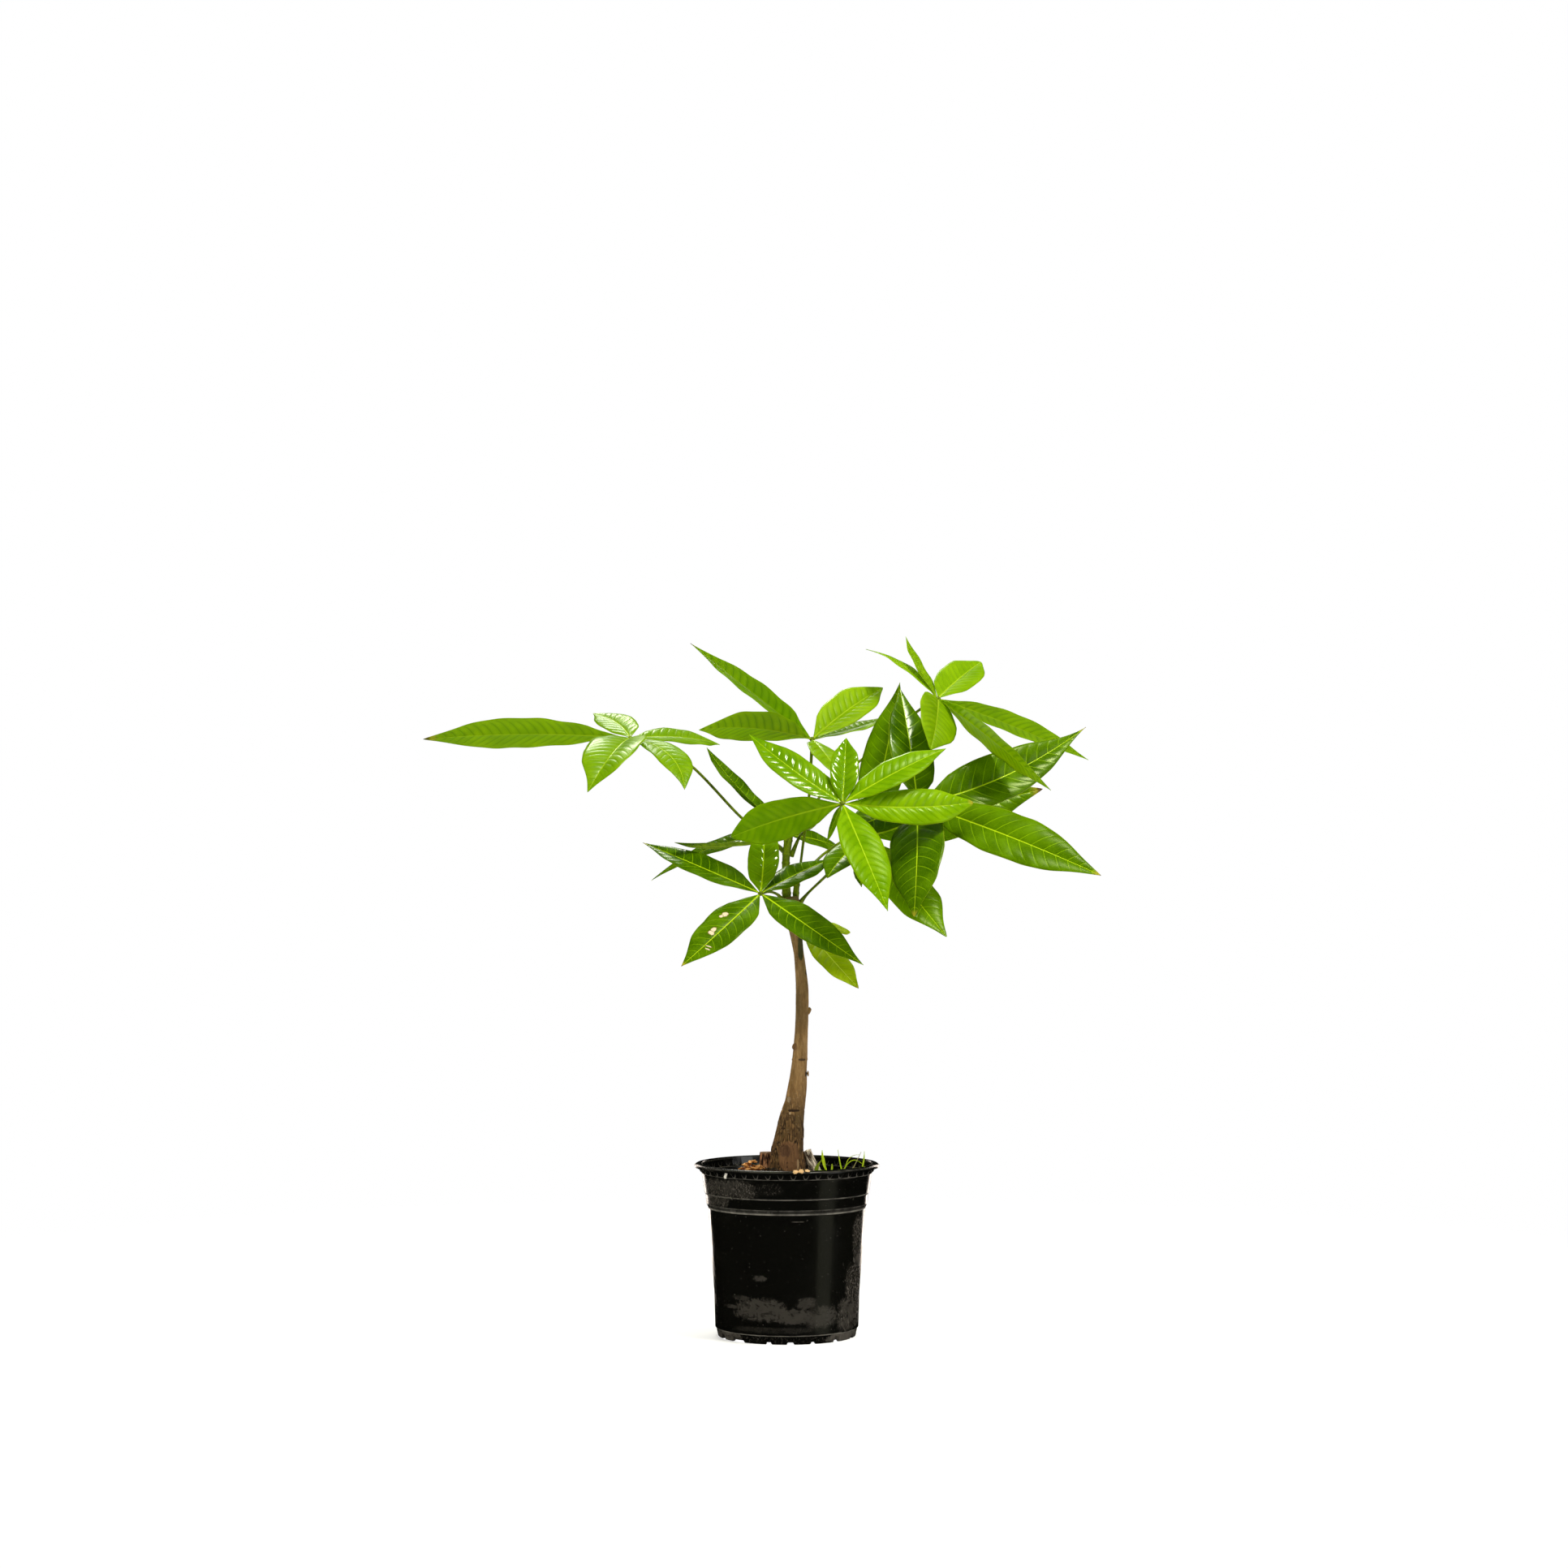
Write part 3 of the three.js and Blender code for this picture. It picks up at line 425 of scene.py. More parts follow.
            dict(tip=(-0.114, -0.156, 0.419), bow=(0, -0.010, -0.001), wide=0.050, lean=24, fold=6,
                 widest=0.44, slim=1.6, dry=0.018, tone=0.35, torn=True, sheen=0.2, quilt=0.3),
        ),
    ),
    "leaf_back_left": dict(
        skin="mature",
        quilt=0.5,
        pitch=0.0115,
        hub=(0.002, 0.046, 0.563),
        petiole=((0.0015, 0.006, 0.557), (0.002, 0.024, 0.563)),
        leaflets=(
            dict(tip=(-0.159, 0.132, 0.511), bow=(-0.001, 0.008, 0.015), wide=0.046, lean=28, fold=2,
                 widest=0.55, slim=1.6, tone=0.7),
            dict(tip=(-0.126, -0.031, 0.554), bow=(-0.004, 0, -0.008), wide=0.038, lean=-10, fold=2,
                 widest=0.55, slim=1.7, tone=0.7),
            dict(tip=(0.067, 0.127, 0.546), bow=(0.003, 0.008, 0.003), wide=0.036, lean=-38, fold=2,
                 slim=1.5),
            dict(tip=(-0.094, 0.130, 0.667), bow=(-0.010, 0.008, 0.003), wide=0.052, lean=-12, fold=6,
                 slim=1.7, tone=0.2),
            dict(tip=(0.050, 0.136, 0.604), bow=(0.003, 0.008, -0.001), wide=0.034, lean=68, fold=2,
                 slim=1.5),
        ),
    ),
    "leaf_low_right": dict(
        skin="low",
        quilt=0.7,
        pitch=0.0120,
        hub=(0.021, 0.030, 0.457),
        petiole=((0.009, 0.010, 0.478), (0.015, 0.020, 0.472)),
        leaflets=(
            dict(tip=(0.080, -0.043, 0.391), bow=(-0.001, -0.008, 0), wide=0.036, lean=-16, fold=2,
                 widest=0.52, slim=1.5, dry=0.01, tone=0.6),
            dict(tip=(0.073, 0.090, 0.452), bow=(0.002, 0.006, 0.002), wide=0.026, lean=-32, fold=2,
                 widest=0.70, slim=1.4, tone=0.85),
            dict(tip=(0.033, 0.102, 0.442), bow=(0.002, 0.006, 0.004), wide=0.026, lean=-40, fold=2,
                 widest=0.55, slim=1.5, tone=0.85),
        ),
    ),
}

# Grid and number helpers


def rgb(red, green, blue):
    """An opaque linear colour."""
    return (red, green, blue, 1.0)


def unit(vectors):
    """Each vector divided by its own length."""
    vectors = np.asarray(vectors, float)
    return vectors / np.maximum(np.linalg.norm(vectors, axis=-1, keepdims=True), 1e-12)


def step(low, high, x):
    """0 below low, 1 above high, and the smooth cubic 3s^2 - 2s^3 between them."""
    s = np.clip((x - low) / (high - low), 0, 1)
    return s * s * (3 - 2 * s)


def noise(points, scale, seed):
    """Value noise from 0 to 1: fixed values on a cubic lattice, 1/scale apart, blended smoothly between."""
    p = np.asarray(points, float) * scale
    cell = np.floor(p)
    f = p - cell
    f = f * f * (3 - 2 * f)
    total = np.zeros(p.shape[:-1])
    for corner in np.ndindex(2, 2, 2):
        at = cell + np.array(corner)
        value = np.sin(at @ np.array([127.1, 311.7, 74.7]) + seed * 19.19) * 43758.5453
        share = np.prod(np.where(np.array(corner) == 1, f, 1 - f), axis=-1)
        total = total + (value - np.floor(value)) * share
    return total


def smooth_line(knots, count):
    """Catmull-Rom curve through the knots at count even steps; each column, radius too, is carried along."""
    knots = np.asarray(knots, float)
    padded = np.vstack([2 * knots[0] - knots[1], knots, 2 * knots[-1] - knots[-2]])
    gap = np.linalg.norm(np.diff(knots[:, :3], axis=0), axis=1)
    distance = np.concatenate([[0], np.cumsum(gap)])
    s = np.interp(np.linspace(0, distance[-1], count), distance, np.arange(len(knots)))
    k = np.minimum(s.astype(int), len(knots) - 2)
    f = (s - k)[:, None]
    a, b, c, d = padded[k], padded[k + 1], padded[k + 2], padded[k + 3]
    return 0.5 * (2 * b + (c - a) * f + (2 * a - 5 * b + 4 * c - d) * f**2 + (3 * b - a - 3 * c + d) * f**3)


def ring_faces(rings, sides):
    """Quads between neighbouring rings of a grid whose columns run all the way round."""
    i = np.arange(rings - 1)[:, None] * sides
    j = np.arange(sides)[None, :]
    k = (j + 1) % sides
    return np.stack([i + j, i + k, i + sides + k, i + sides + j], -1).reshape(-1, 4)


def outward(points, quads, caps):
    """The faces, turned round where the volume that they enclose comes out negative."""
    a, b, c, d = (points[quads[:, n]] for n in range(4))
    volume = np.sum(np.cross(a, b) * c) + np.sum(np.cross(a, c) * d)
    for cap in caps:
        ring = points[cap]
        volume += np.sum(np.cross(ring, np.roll(ring, -1, axis=0)) * ring.mean(axis=0))
    if volume < 0:
        return quads[:, ::-1], [cap[::-1] for cap in caps]
    return quads, caps


def shell(grid, finish=0, marks=None, finishes=None):
    """A closed skin from a grid of rings: quads round and along, and one flat face at each end."""
    rings, sides = grid.shape[:2]
    points = grid.reshape(-1, 3)
    caps = [np.arange(sides)[::-1], np.arange(sides) + (rings - 1) * sides]
    quads, caps = outward(points, ring_faces(rings, sides), caps)
    given = np.full(len(quads), finish) if finishes is None else finishes
    return dict(points=points, quads=quads, caps=caps, finish=given, cap_finish=finish, marks=marks or {})


def piece(name, skins, finishes, stands_for=()):
    """One mesh object made of closed skins, riding on the body, at the origin and unturned."""
    offsets = np.cumsum([0] + [len(s["points"]) for s in skins])
    points = np.concatenate([s["points"] for s in skins])
    quads = np.concatenate([s["quads"] + o for s, o in zip(skins, offsets)])
    caps = [cap + o for s, o in zip(skins, offsets) for cap in s["caps"]]
    finish = np.concatenate([s["finish"] for s in skins])
    cap_finish = [s["cap_finish"] for s in skins for _ in s["caps"]]
    sizes = np.concatenate([np.full(len(quads), 4), [len(cap) for cap in caps]]).astype(np.int32)
    corners = np.concatenate([quads.ravel(), *caps]).astype(np.int32)
    mesh = bpy.data.meshes.new(name)
    mesh.vertices.add(len(points))
    mesh.vertices.foreach_set("co", points.astype(np.float32).ravel())
    mesh.loops.add(len(corners))
    mesh.loops.foreach_set("vertex_index", corners)
    mesh.polygons.add(len(sizes))
    mesh.polygons.foreach_set("loop_start", np.concatenate([[0], np.cumsum(sizes)[:-1]]).astype(np.int32))
    mesh.polygons.foreach_set("material_index", np.concatenate([finish, cap_finish]).astype(np.int32))
    mesh.polygons.foreach_set("use_smooth", np.ones(len(sizes), bool))
    mesh.update(calc_edges=True)
    for mark in sorted({m for s in skins for m in s["marks"]}):
        values = [np.broadcast_to(s["marks"].get(mark, 0.0), len(s["points"])) for s in skins]
        field = mesh.attributes.new(mark, "FLOAT", "POINT")
        field.data.foreach_set("value", np.concatenate(values).astype(np.float32))
    mesh.validate()
    for material in finishes:
        mesh.materials.append(material)
    made = bpy.data.objects.new(name, mesh)
    bpy.context.scene.collection.objects.link(made)
    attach(made, "root")
    if stands_for:
        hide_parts(*stands_for)
    return made


# Shapes


def limb(knots, ring_step, sides, relief=None, finish=0, marks=None):
    """A round limb: rings of the carried radius square to a smooth line through the knots x, y, z, radius.

    relief(angle, along, points) is added to the radius, with along from 0 to 1.
    """
    knots = np.asarray(knots, float)
    length = np.linalg.norm(np.diff(knots[:, :3], axis=0), axis=1).sum()
    line = smooth_line(knots, max(4, int(length / ring_step) + 2))
    tangent = unit(np.gradient(line[:, :3], axis=0))
    across = np.cross(unit(knots[-1, :3] - knots[0, :3]), [0.31, -0.86, 0.41])
    first = unit(across - tangent * np.sum(across * tangent, axis=1, keepdims=True))
    second = np.cross(tangent, first)
    angle = np.linspace(0, 2 * np.pi, sides, endpoint=False)
    cosine, sine = np.cos(angle)[None, :, None], np.sin(angle)[None, :, None]
    round_way = first[:, None] * cosine + second[:, None] * sine
    radius = np.broadcast_to(line[:, 3:4], (len(line), sides))
    grid = line[:, None, :3] + round_way * radius[..., None]
    if relief is not None:
        along = np.linspace(0, 1, len(line))[:, None]
        grid = grid + round_way * relief(angle[None, :], along, grid)[..., None]
    return shell(grid, finish, marks)


def lump(centre, size, turn=(0, 0, 0), rough=0.0, seed=0, finish=0, marks=None, sides=16, rings=9):
    """A pebble: a sphere on a latitude and longitude grid, dented by noise, scaled, turned about X, Y, Z."""
    low = np.linspace(-0.985, 0.985, rings)[:, None] * np.pi / 2
    round_way = np.linspace(0, 2 * np.pi, sides, endpoint=False)[None, :]
    ball = np.stack([np.cos(low) * np.cos(round_way), np.cos(low) * np.sin(round_way),
                     np.sin(low) + 0 * round_way], -1)
    ball = ball * (1 + rough * (noise(ball, 1.7, seed) - 0.5))[..., None]
    ball = ball * np.asarray(size, float)
    for axis, amount in enumerate(np.radians(turn)):
        a, b = (axis + 1) % 3, (axis + 2) % 3
        c, s = np.cos(amount), np.sin(amount)
        ball[..., a], ball[..., b] = ball[..., a] * c - ball[..., b] * s, ball[..., a] * s + ball[..., b] * c
    return shell(ball + np.asarray(centre, float), finish, marks)


def blade(hub, leaflet, pitch, seed, finish=0, start=HUB_START, thick=BLADE_THICK, rib=1.0):
    """One leaflet as a thin closed skin over t from hub to tip and v from margin to margin.

    The midrib is hub + chord t + bow 4t(1-t). The half width is a power curve of t that peaks at "widest",
    narrowed at the neck and rippled a little. Each half rises by the fold angle, arches by |v| - v^2,
    bulges between the side veins, whose phase is t less a forward-curving reach, and waves at the margin;
    both fade toward the tip. The midrib is a groove above and a ridge below.
    """
    leaflet = USUAL_LEAFLET | leaflet
    hub, tip, bow = (np.asarray(p, float) for p in (hub, leaflet["tip"], leaflet["bow"]))
    widest, slim = leaflet["widest"], leaflet["slim"]
    chord = tip - hub
    length = np.linalg.norm(chord)
    rows = int(np.clip(length / ROW_STEP, 16, 140))
    t = np.linspace(start / length, 1, rows + 1)[:, None]
    tangent = unit(chord + bow * (4 - 8 * t))
    level = unit(np.cross(chord, UP))
    lean = np.radians(leaflet["lean"])
    side0 = level * np.cos(lean) + np.cross(level, unit(chord)) * np.sin(lean)
    side = unit(side0 - tangent * (tangent @ side0)[:, None])
    normal = np.cross(side, tangent)
    middle = hub + chord * t + bow * 4 * t * (1 - t)

    s = np.linspace(-1, 1, BLADE_COLUMNS + 1)
    upper = np.sign(s) * np.abs(s) ** 1.45
    v = np.concatenate([upper, upper[::-1]])[None, :]
    face = np.concatenate([np.ones(len(upper)), -np.ones(len(upper))])[None, :]
    reach = np.abs(v)

    peak = (t / widest) ** (widest * slim) * (np.maximum(1 - t, 0) / (1 - widest)) ** ((1 - widest) * slim)
    half = leaflet["wide"] / 2 * peak * np.minimum(1, np.sqrt(t / leaflet["neck"]))
    ripple = 0.012 * np.sin(2 * np.pi * (t * 3.3 + seed * 0.37 + 0.31 * np.sign(v)))
    ripple = ripple + 0.004 * np.sin(2 * np.pi * (t * 8.1 + seed * 0.71 + 0.17 * np.sign(v)))
    half = half * (1 + ripple) * (1 - leaflet["point"] * step(0.70, 1.0, t))
    half = np.maximum(half, 0.0003 + 0.0006 * (t < 0.5))
    sweep = VEIN_SWEEP[0] * reach + VEIN_SWEEP[1] * reach**3
    phase = (t * length - half * sweep) / pitch + seed * 0.37

    fold = np.radians(leaflet["fold"])
    plump = np.minimum(1, half / PLUMP_FROM) * (1 - 0.9 * step(0.60, 0.92, t))
    bulge = np.abs(np.sin(np.pi * phase)) ** 1.1 * np.sin(np.pi * np.minimum(reach, 1) ** 0.75) ** 0.9
    wave = reach**3 * np.sin(2 * np.pi * (t * length / WAVE_LENGTH + seed * 0.53 + 0.2 * np.sign(v)))
    lift = reach * half * np.sin(fold) + ARCH * half * (reach - reach**2)
    deep = leaflet["quilt"] * QUILT_DEEP * (pitch / USUAL_PITCH)
    lift = lift + deep * plump * bulge + MARGIN_WAVE * plump * wave
    ridge = np.exp(-((reach * half / (RIB_HALF_WIDTH * (1.15 - t))) ** 2)) * (1.1 - t) * rib
    body = thick / 2 * (0.35 + 0.65 * np.sqrt(1 - reach**2))
    lift = lift + face * body - np.where(face < 0, RIB_BELOW, RIB_GROOVE) * ridge
    outward_way = side[:, None] * (v * half * np.cos(fold))[..., None]
    grid = middle[:, None] + outward_way + normal[:, None] * lift[..., None]

    turns = np.broadcast_to(np.where(np.arange(v.size) < len(upper), finish, finish + 1), (rows, v.size))
    marks = dict(
        along=np.broadcast_to(t, grid.shape[:2]).ravel(),
        across=np.broadcast_to(v, grid.shape[:2]).ravel(),
        rib=(reach * half).ravel(),
        phase=phase.ravel(),
        tone=leaflet["tone"],
        dry=leaflet["dry"],
        sheen=leaflet["sheen"],
    )
    return shell(grid, finish, marks, turns.ravel())


def leaf_skins(leaf, seed):
    """Petiole, hub knob and leaflets of one palmate leaf. Finishes: blade top and underside, stem, and the
    torn blade's top and underside. A leaflet without a quilt of its own takes the leaf's."""
    line = [*leaf["petiole"], leaf["hub"]]
    foot, slender, top = PETIOLE_RADII
    radii = [foot, *([slender] * (len(line) - 2)), top]
    knots = [(*p, r) for p, r in zip(line, radii)]
    hub = np.array(leaf["hub"])
    skins = [limb(knots, ring_step=0.003, sides=12, finish=2)]
    skins.append(lump(hub, (0.0032, 0.0032, 0.0027), rough=0.4, seed=seed, finish=2))
    for n, leaflet in enumerate(leaf["leaflets"]):
        first = 3 if leaflet.get("torn") else 0
        own = dict(quilt=leaf["quilt"]) | leaflet
        skins.append(blade(hub, own, leaf["pitch"], seed * 10 + n, finish=first))
    return skins


def rounded(profile, size, steps=3):
    """The profile with a quadratic curve, from size before it to size after it, in place of each corner."""
    p = np.asarray(profile, float)
    back, on = unit(p[:-2] - p[1:-1]), unit(p[2:] - p[1:-1])
    reach = np.minimum(size, 0.45 * np.minimum(np.linalg.norm(p[:-2] - p[1:-1], axis=1),
                                              np.linalg.norm(p[2:] - p[1:-1], axis=1)))[:, None]
    f = np.linspace(0, 1, steps + 1)[None, :, None]
    a, b, c = p[1:-1] + back * reach, p[1:-1], p[1:-1] + on * reach
    arcs = a[:, None] * (1 - f) ** 2 + 2 * b[:, None] * f * (1 - f) + c[:, None] * f**2
    return np.vstack([p[:1], arcs.reshape(-1, 2), p[-1:]])


def filled(profile, longest):
    """The profile with points added so that no straight run is longer than the given length."""
    p = np.asarray(profile, float)
    gap = np.linalg.norm(np.diff(p, axis=0), axis=1)
    counts = np.maximum(1, np.ceil(gap / longest).astype(int))
    runs = [
        a + (b - a) * np.linspace(0, 1, n, endpoint=False)[:, None]
        for a, b, n in zip(p[:-1], p[1:], counts)
    ]
    return np.vstack([*runs, p[-1:]])


def pot_skin():
    """A lathed wall: radius and height along a profile, turned about Z. The foot is lifted at each notch,
    U-shaped scallops, a power curve of the angle, stand out under the rim, and the rim's inner face is
    fluted by the sine of the angle. Seen from above, the rim is a little oval."""
    profile = [
        # pad, floor and foot ring
        (0.001, 0.0),
        (PAD_RADIUS, 0.0),
        (PAD_RADIUS + 0.001, FLOOR_UNDER),
        (FOOT_RADIUS - WALL - 0.002, FLOOR_UNDER),
        (FOOT_RADIUS - WALL - 0.0016, 0.0),
        (FOOT_RADIUS, 0.0),
        # outside of the wall
        (SEAM_RADIUS, SKIRT_HEIGHT),
        (BODY_FOOT_RADIUS, SKIRT_HEIGHT + 0.0009),
        BODY_LOW,
        BODY_HIGH,
        STEP_FOOT,
        STEP_TOP,
        RING_FOOT,
        RING_TOP,
        # ledge and rim
        LEDGE,
        (LEDGE[0] + 0.0006, LEDGE[1] + 0.0004),
        (0.0996, RIM_UNDER),
        (RIM_RADIUS - 0.0006, RIM_UNDER),
        (RIM_RADIUS, RIM_UNDER + 0.0012),
        (RIM_RADIUS - 0.0008, RIM_TOP - 0.0014),
        (RIM_RADIUS - 0.003, RIM_TOP),
        (RIM_BORE, RIM_TOP),
        # inside of the wall
        (LEDGE[0] - 0.001, LEDGE[1] + 0.001),
        (LEDGE[0] - 0.0024, LEDGE[1]),
        (STEP_TOP[0] - WALL, STEP_TOP[1]),
        (STEP_FOOT[0] - WALL - 0.0003, 0.1425),
        (BODY_HIGH[0] - WALL, BODY_HIGH[1]),
        (BODY_LOW[0] - WALL, BODY_LOW[1]),
        (BODY_FOOT_RADIUS - WALL, SKIRT_HEIGHT + 0.0009),
        (FOOT_RADIUS - WALL, FLOOR_TOP),
        (0.001, FLOOR_TOP),
    ]
    rim_start = profile.index(LEDGE)
    rim_end = profile.index((RIM_BORE, RIM_TOP)) + 1
    line = filled(rounded(profile, 0.0006), 0.012)
    band = filled(rounded(profile[rim_start:rim_end], 0.0005), 0.0009)
    first, last = (np.abs(line - end).sum(axis=1).argmin() for end in (band[0], band[-1]))
    line = np.vstack([line[:first], band, line[last + 1:]])
    radius, height = line[:, 0][:, None], line[:, 1][:, None]
    angle = np.linspace(0, 2 * np.pi, POT_SIDES, endpoint=False)[None, :]
    lifted = np.zeros_like(angle)
    for middle, width in zip(NOTCHES, NOTCH_WIDE):
        away = np.abs((angle - np.radians(middle) + np.pi) % (2 * np.pi) - np.pi) * FOOT_RADIUS
        lifted = np.maximum(lifted, 1 - step(width / 2000 - 0.0005, width / 2000 + 0.0005, away))
    foot = (1 - step(0.0002, 0.0012, height)) * step(FOOT_RADIUS - 0.006, FOOT_RADIUS - 0.004, radius)
    across = (angle * POT_SCALLOPS / (2 * np.pi)) % 1 - 0.5
    outer = (np.arange(len(line)) < len(line) * 0.62)[:, None]
    edge = TONGUE_FOOT + TONGUE_TALL * (np.abs(across) / TONGUE_SHARE) ** TONGUE_POWER
    tongue = step(-0.0002, 0.0007, height - edge)
    under = step(LEDGE[1] - 0.0004, LEDGE[1] + 0.0006, height)
    under = under * (1 - step(RIM_UNDER - 0.0012, RIM_UNDER, height))
    radius = radius + np.where(outer & (radius < 0.1005), FLUTE_DEEP * tongue * under, 0)
    flute = 1 - np.abs(np.sin(np.pi * POT_SCALLOPS * angle / (2 * np.pi))) ** 0.6
    inside = step(0.1826, 0.1845, height) * (1 - step(0.1905, 0.1925, height))
    radius = radius + np.where(~outer, FLUTE_DEEP * flute * inside, 0)
    height = height + NOTCH_TALL * foot * lifted
    radius = radius * (1 + OUT_OF_ROUND * np.sin(2 * angle + 0.6) * step(0.12, 0.19, height))
    grid = np.stack([radius * np.sin(angle), -radius * np.cos(angle), height + 0 * angle], -1)
    return shell(grid)


def soil_height(radius):
    """Height of the mound: a line through the profile's points."""
    rows = np.array(SOIL_PROFILE)
    return np.interp(radius, rows[:, 0], rows[:, 1])


def soil_skin():
    """Mound of potting soil: a polar grid whose height is the mound plus three sizes of lumps, a little
    higher at the trunk, and closed by the wall and the bottom that the pot holds."""
    radius = np.linspace(0.0008, 0.0915, 110)[:, None]
    angle = np.linspace(0, 2 * np.pi, 300, endpoint=False)[None, :]
    x, y = radius * np.sin(angle), -radius * np.cos(angle)
    flat = np.stack([x, y, 0 * x], -1)
    height = soil_height(radius)
    for deep, scale, seed in SOIL_LUMPS:
        height = height + deep * (noise(flat, scale, seed) - 0.5)
    height = height + 0.002 * step(0.004, 0, radius - 0.0215)
    top = np.stack([x, y, height], -1)
    wall_radius, z = (column[:, None] for column in np.array(SOIL_WALL).T)
    wall = np.stack([wall_radius * np.sin(angle), -wall_radius * np.cos(angle), z + 0 * angle], -1)
    return shell(np.concatenate([top, wall]))


def scatter(count, seed, ring, size, flatness, lift, keep=None):
    """Many small crumbs: one dented 8-sided pebble copied to random places on the mound, as whole arrays.

    ring gives the radius range, and keep(x, y), if given, says which places count.
    """
    rng = np.random.default_rng(seed)
    angle = rng.uniform(0, 2 * np.pi, count)
    radius = np.sqrt(rng.uniform(ring[0] ** 2, ring[1] ** 2, count))
    x, y = radius * np.sin(angle), -radius * np.cos(angle)
    if keep is not None:
        chosen = keep(x, y)
        x, y, radius = x[chosen], y[chosen], radius[chosen]
    n = len(x)
    rings, sides = 5, 8
    tilt = np.linspace(-0.95, 0.95, rings)[:, None] * np.pi / 2
    spin = np.linspace(0, 2 * np.pi, sides, endpoint=False)[None, :]
    ball = np.stack([np.cos(tilt) * np.cos(spin), np.cos(tilt) * np.sin(spin), np.sin(tilt) + 0 * spin], -1)
    base = ball.reshape(-1, 3)
    scale = rng.uniform(size[0], size[1], (n, 1, 1)) * rng.uniform(0.6, 1.25, (n, 1, 3))
    scale[..., 2] *= flatness
    dents = rng.uniform(0.72, 1.12, (n, len(base), 1))
    body = base[None] * scale * dents
    turn = rng.uniform(0, 2 * np.pi, (n, 1))
    lean = rng.uniform(-0.5, 0.5, (n, 1))
    bx = body[..., 0] * np.cos(turn) - body[..., 1] * np.sin(turn)
    by = body[..., 0] * np.sin(turn) + body[..., 1] * np.cos(turn)
    bz = body[..., 2] + lean * bx * 0.6
    z = soil_height(radius) + lift
    points = np.stack([bx + x[:, None], by + y[:, None], bz + z[:, None]], -1)
    caps = [np.arange(sides)[::-1], np.arange(sides) + (rings - 1) * sides]
    quads, caps = outward(base, ring_faces(rings, sides), caps)
    shift = np.arange(n) * len(base)
    all_quads = (quads[None] + shift[:, None, None]).reshape(-1, 4)
    all_caps = [cap + s for cap in caps for s in shift]
    tones = np.repeat(rng.uniform(0, 1, n), len(base))
    finish = np.zeros(len(all_quads), int)
    return dict(points=points.reshape(-1, 3), quads=all_quads, caps=all_caps, finish=finish, cap_finish=0,
                marks=dict(tone=tones))


def trunk_relief(angle, along, points):
    """Bark: long shallow ridges and finer cracks that weaken upward, a slow swell, and two rings."""
    height = points[..., 2]
    low = 1 - step(0.20, 0.30, height)
    flat = 0 * height
    round_way = np.stack([np.cos(angle) * 0.02 + flat, np.sin(angle) * 0.02 + flat, height * 0.35], -1)
    ridges = 0.0024 * (noise(round_way, 190, 2) - 0.5) * (0.18 + 0.82 * low)
    crust = 0.0018 * (np.abs(noise(round_way, 520, 7) - 0.5) * 2) * (0.2 + 0.8 * low)
    slow = 0.0009 * np.sin(3 * angle + height * 23) * low + 0.0004 * np.sin(2 * angle - height * 61)
    rings = sum(rise * np.exp(-(((height - z) / width) ** 2)) for z, width, rise in BARK_RINGS)
    return ridges - crust * 0.5 + slow + rings


def shoot_relief(angle, along, points):
    """Green shoot: faint lengthwise ribs and raised rings where leaves once sat."""
    height = points[..., 2]
    ribs = 0.00016 * np.sin(5 * angle + 30 * height)
    rings = sum(0.0006 * np.exp(-(((height - z) / 0.0011) ** 2)) for z in SHOOT_RINGS)
    return ribs + rings


def stump_relief(angle, along, points):
    """Sawn stub: coarse bark ridges in two sizes, from noise round and along it."""
    ridge = np.stack([np.cos(angle) + 0 * along, np.sin(angle) + 0 * along, points[..., 2] * 40], -1)
    return 0.0016 * (noise(ridge, 3.1, 4) - 0.6) + 0.0008 * (noise(ridge, 8.0, 9) - 0.5)


def root_relief(angle, along, points):
    """Fibrous root: strands that run along it as deep narrow grooves."""
    strand = np.abs(np.sin(4.5 * angle + 5 * along + 1.3 * np.sin(9 * along)))
    rough = np.stack([np.cos(angle) + 0 * along, np.sin(angle) + 0 * along, along * 5 + 0 * angle], -1)
    return 0.0011 * (strand**0.5 - 0.8) + 0.0009 * (noise(rough, 4.0, 6) - 0.5)


# Shader helpers


class Wire:
    """One output of a node. Each operator adds a Math node to the same tree and gives its output."""

    def __init__(self, node, output=0):
        self.tree = node.id_data
        self.socket = node.outputs[output]

    def __add__(self, other):
        return calc("ADD", self, other)

    def __sub__(self, other):
        return calc("SUBTRACT", self, other)

    def __rsub__(self, other):
        return calc("SUBTRACT", other, self)

    def __mul__(self, other):
        return calc("MULTIPLY", self, other)

    def __truediv__(self, other):
        return calc("DIVIDE", self, other)

    def __pow__(self, other):
        return calc("POWER", self, other)

    def __abs__(self):
        return calc("ABSOLUTE", self)


def feed(node, inputs):
    """Gives a node's inputs, by name or number, a wire or a value."""
    for key, value in inputs.items():
        if isinstance(value, Wire):
            value.tree.links.new(value.socket, node.inputs[key])
        else:
            node.inputs[key].default_value = value


def put(kind, inputs, output=0, tree=None, **settings):
    """Adds one node, to the tree of its wired inputs unless a tree is given, and gives one of its outputs."""
    if tree is None:
        tree = next(value.tree for value in inputs.values() if isinstance(value, Wire))
    node = tree.nodes.new("ShaderNode" + kind)
    for key, value in settings.items():
        setattr(node, key, value)
    feed(node, inputs)
    return Wire(node, output)


def calc(operation, a, b=0.0):
    """One Math node."""
    return put("Math", {0: a, 1: b}, operation=operation)


def most(a, b):
    """The larger of two values."""
    return calc("MAXIMUM", a, b)


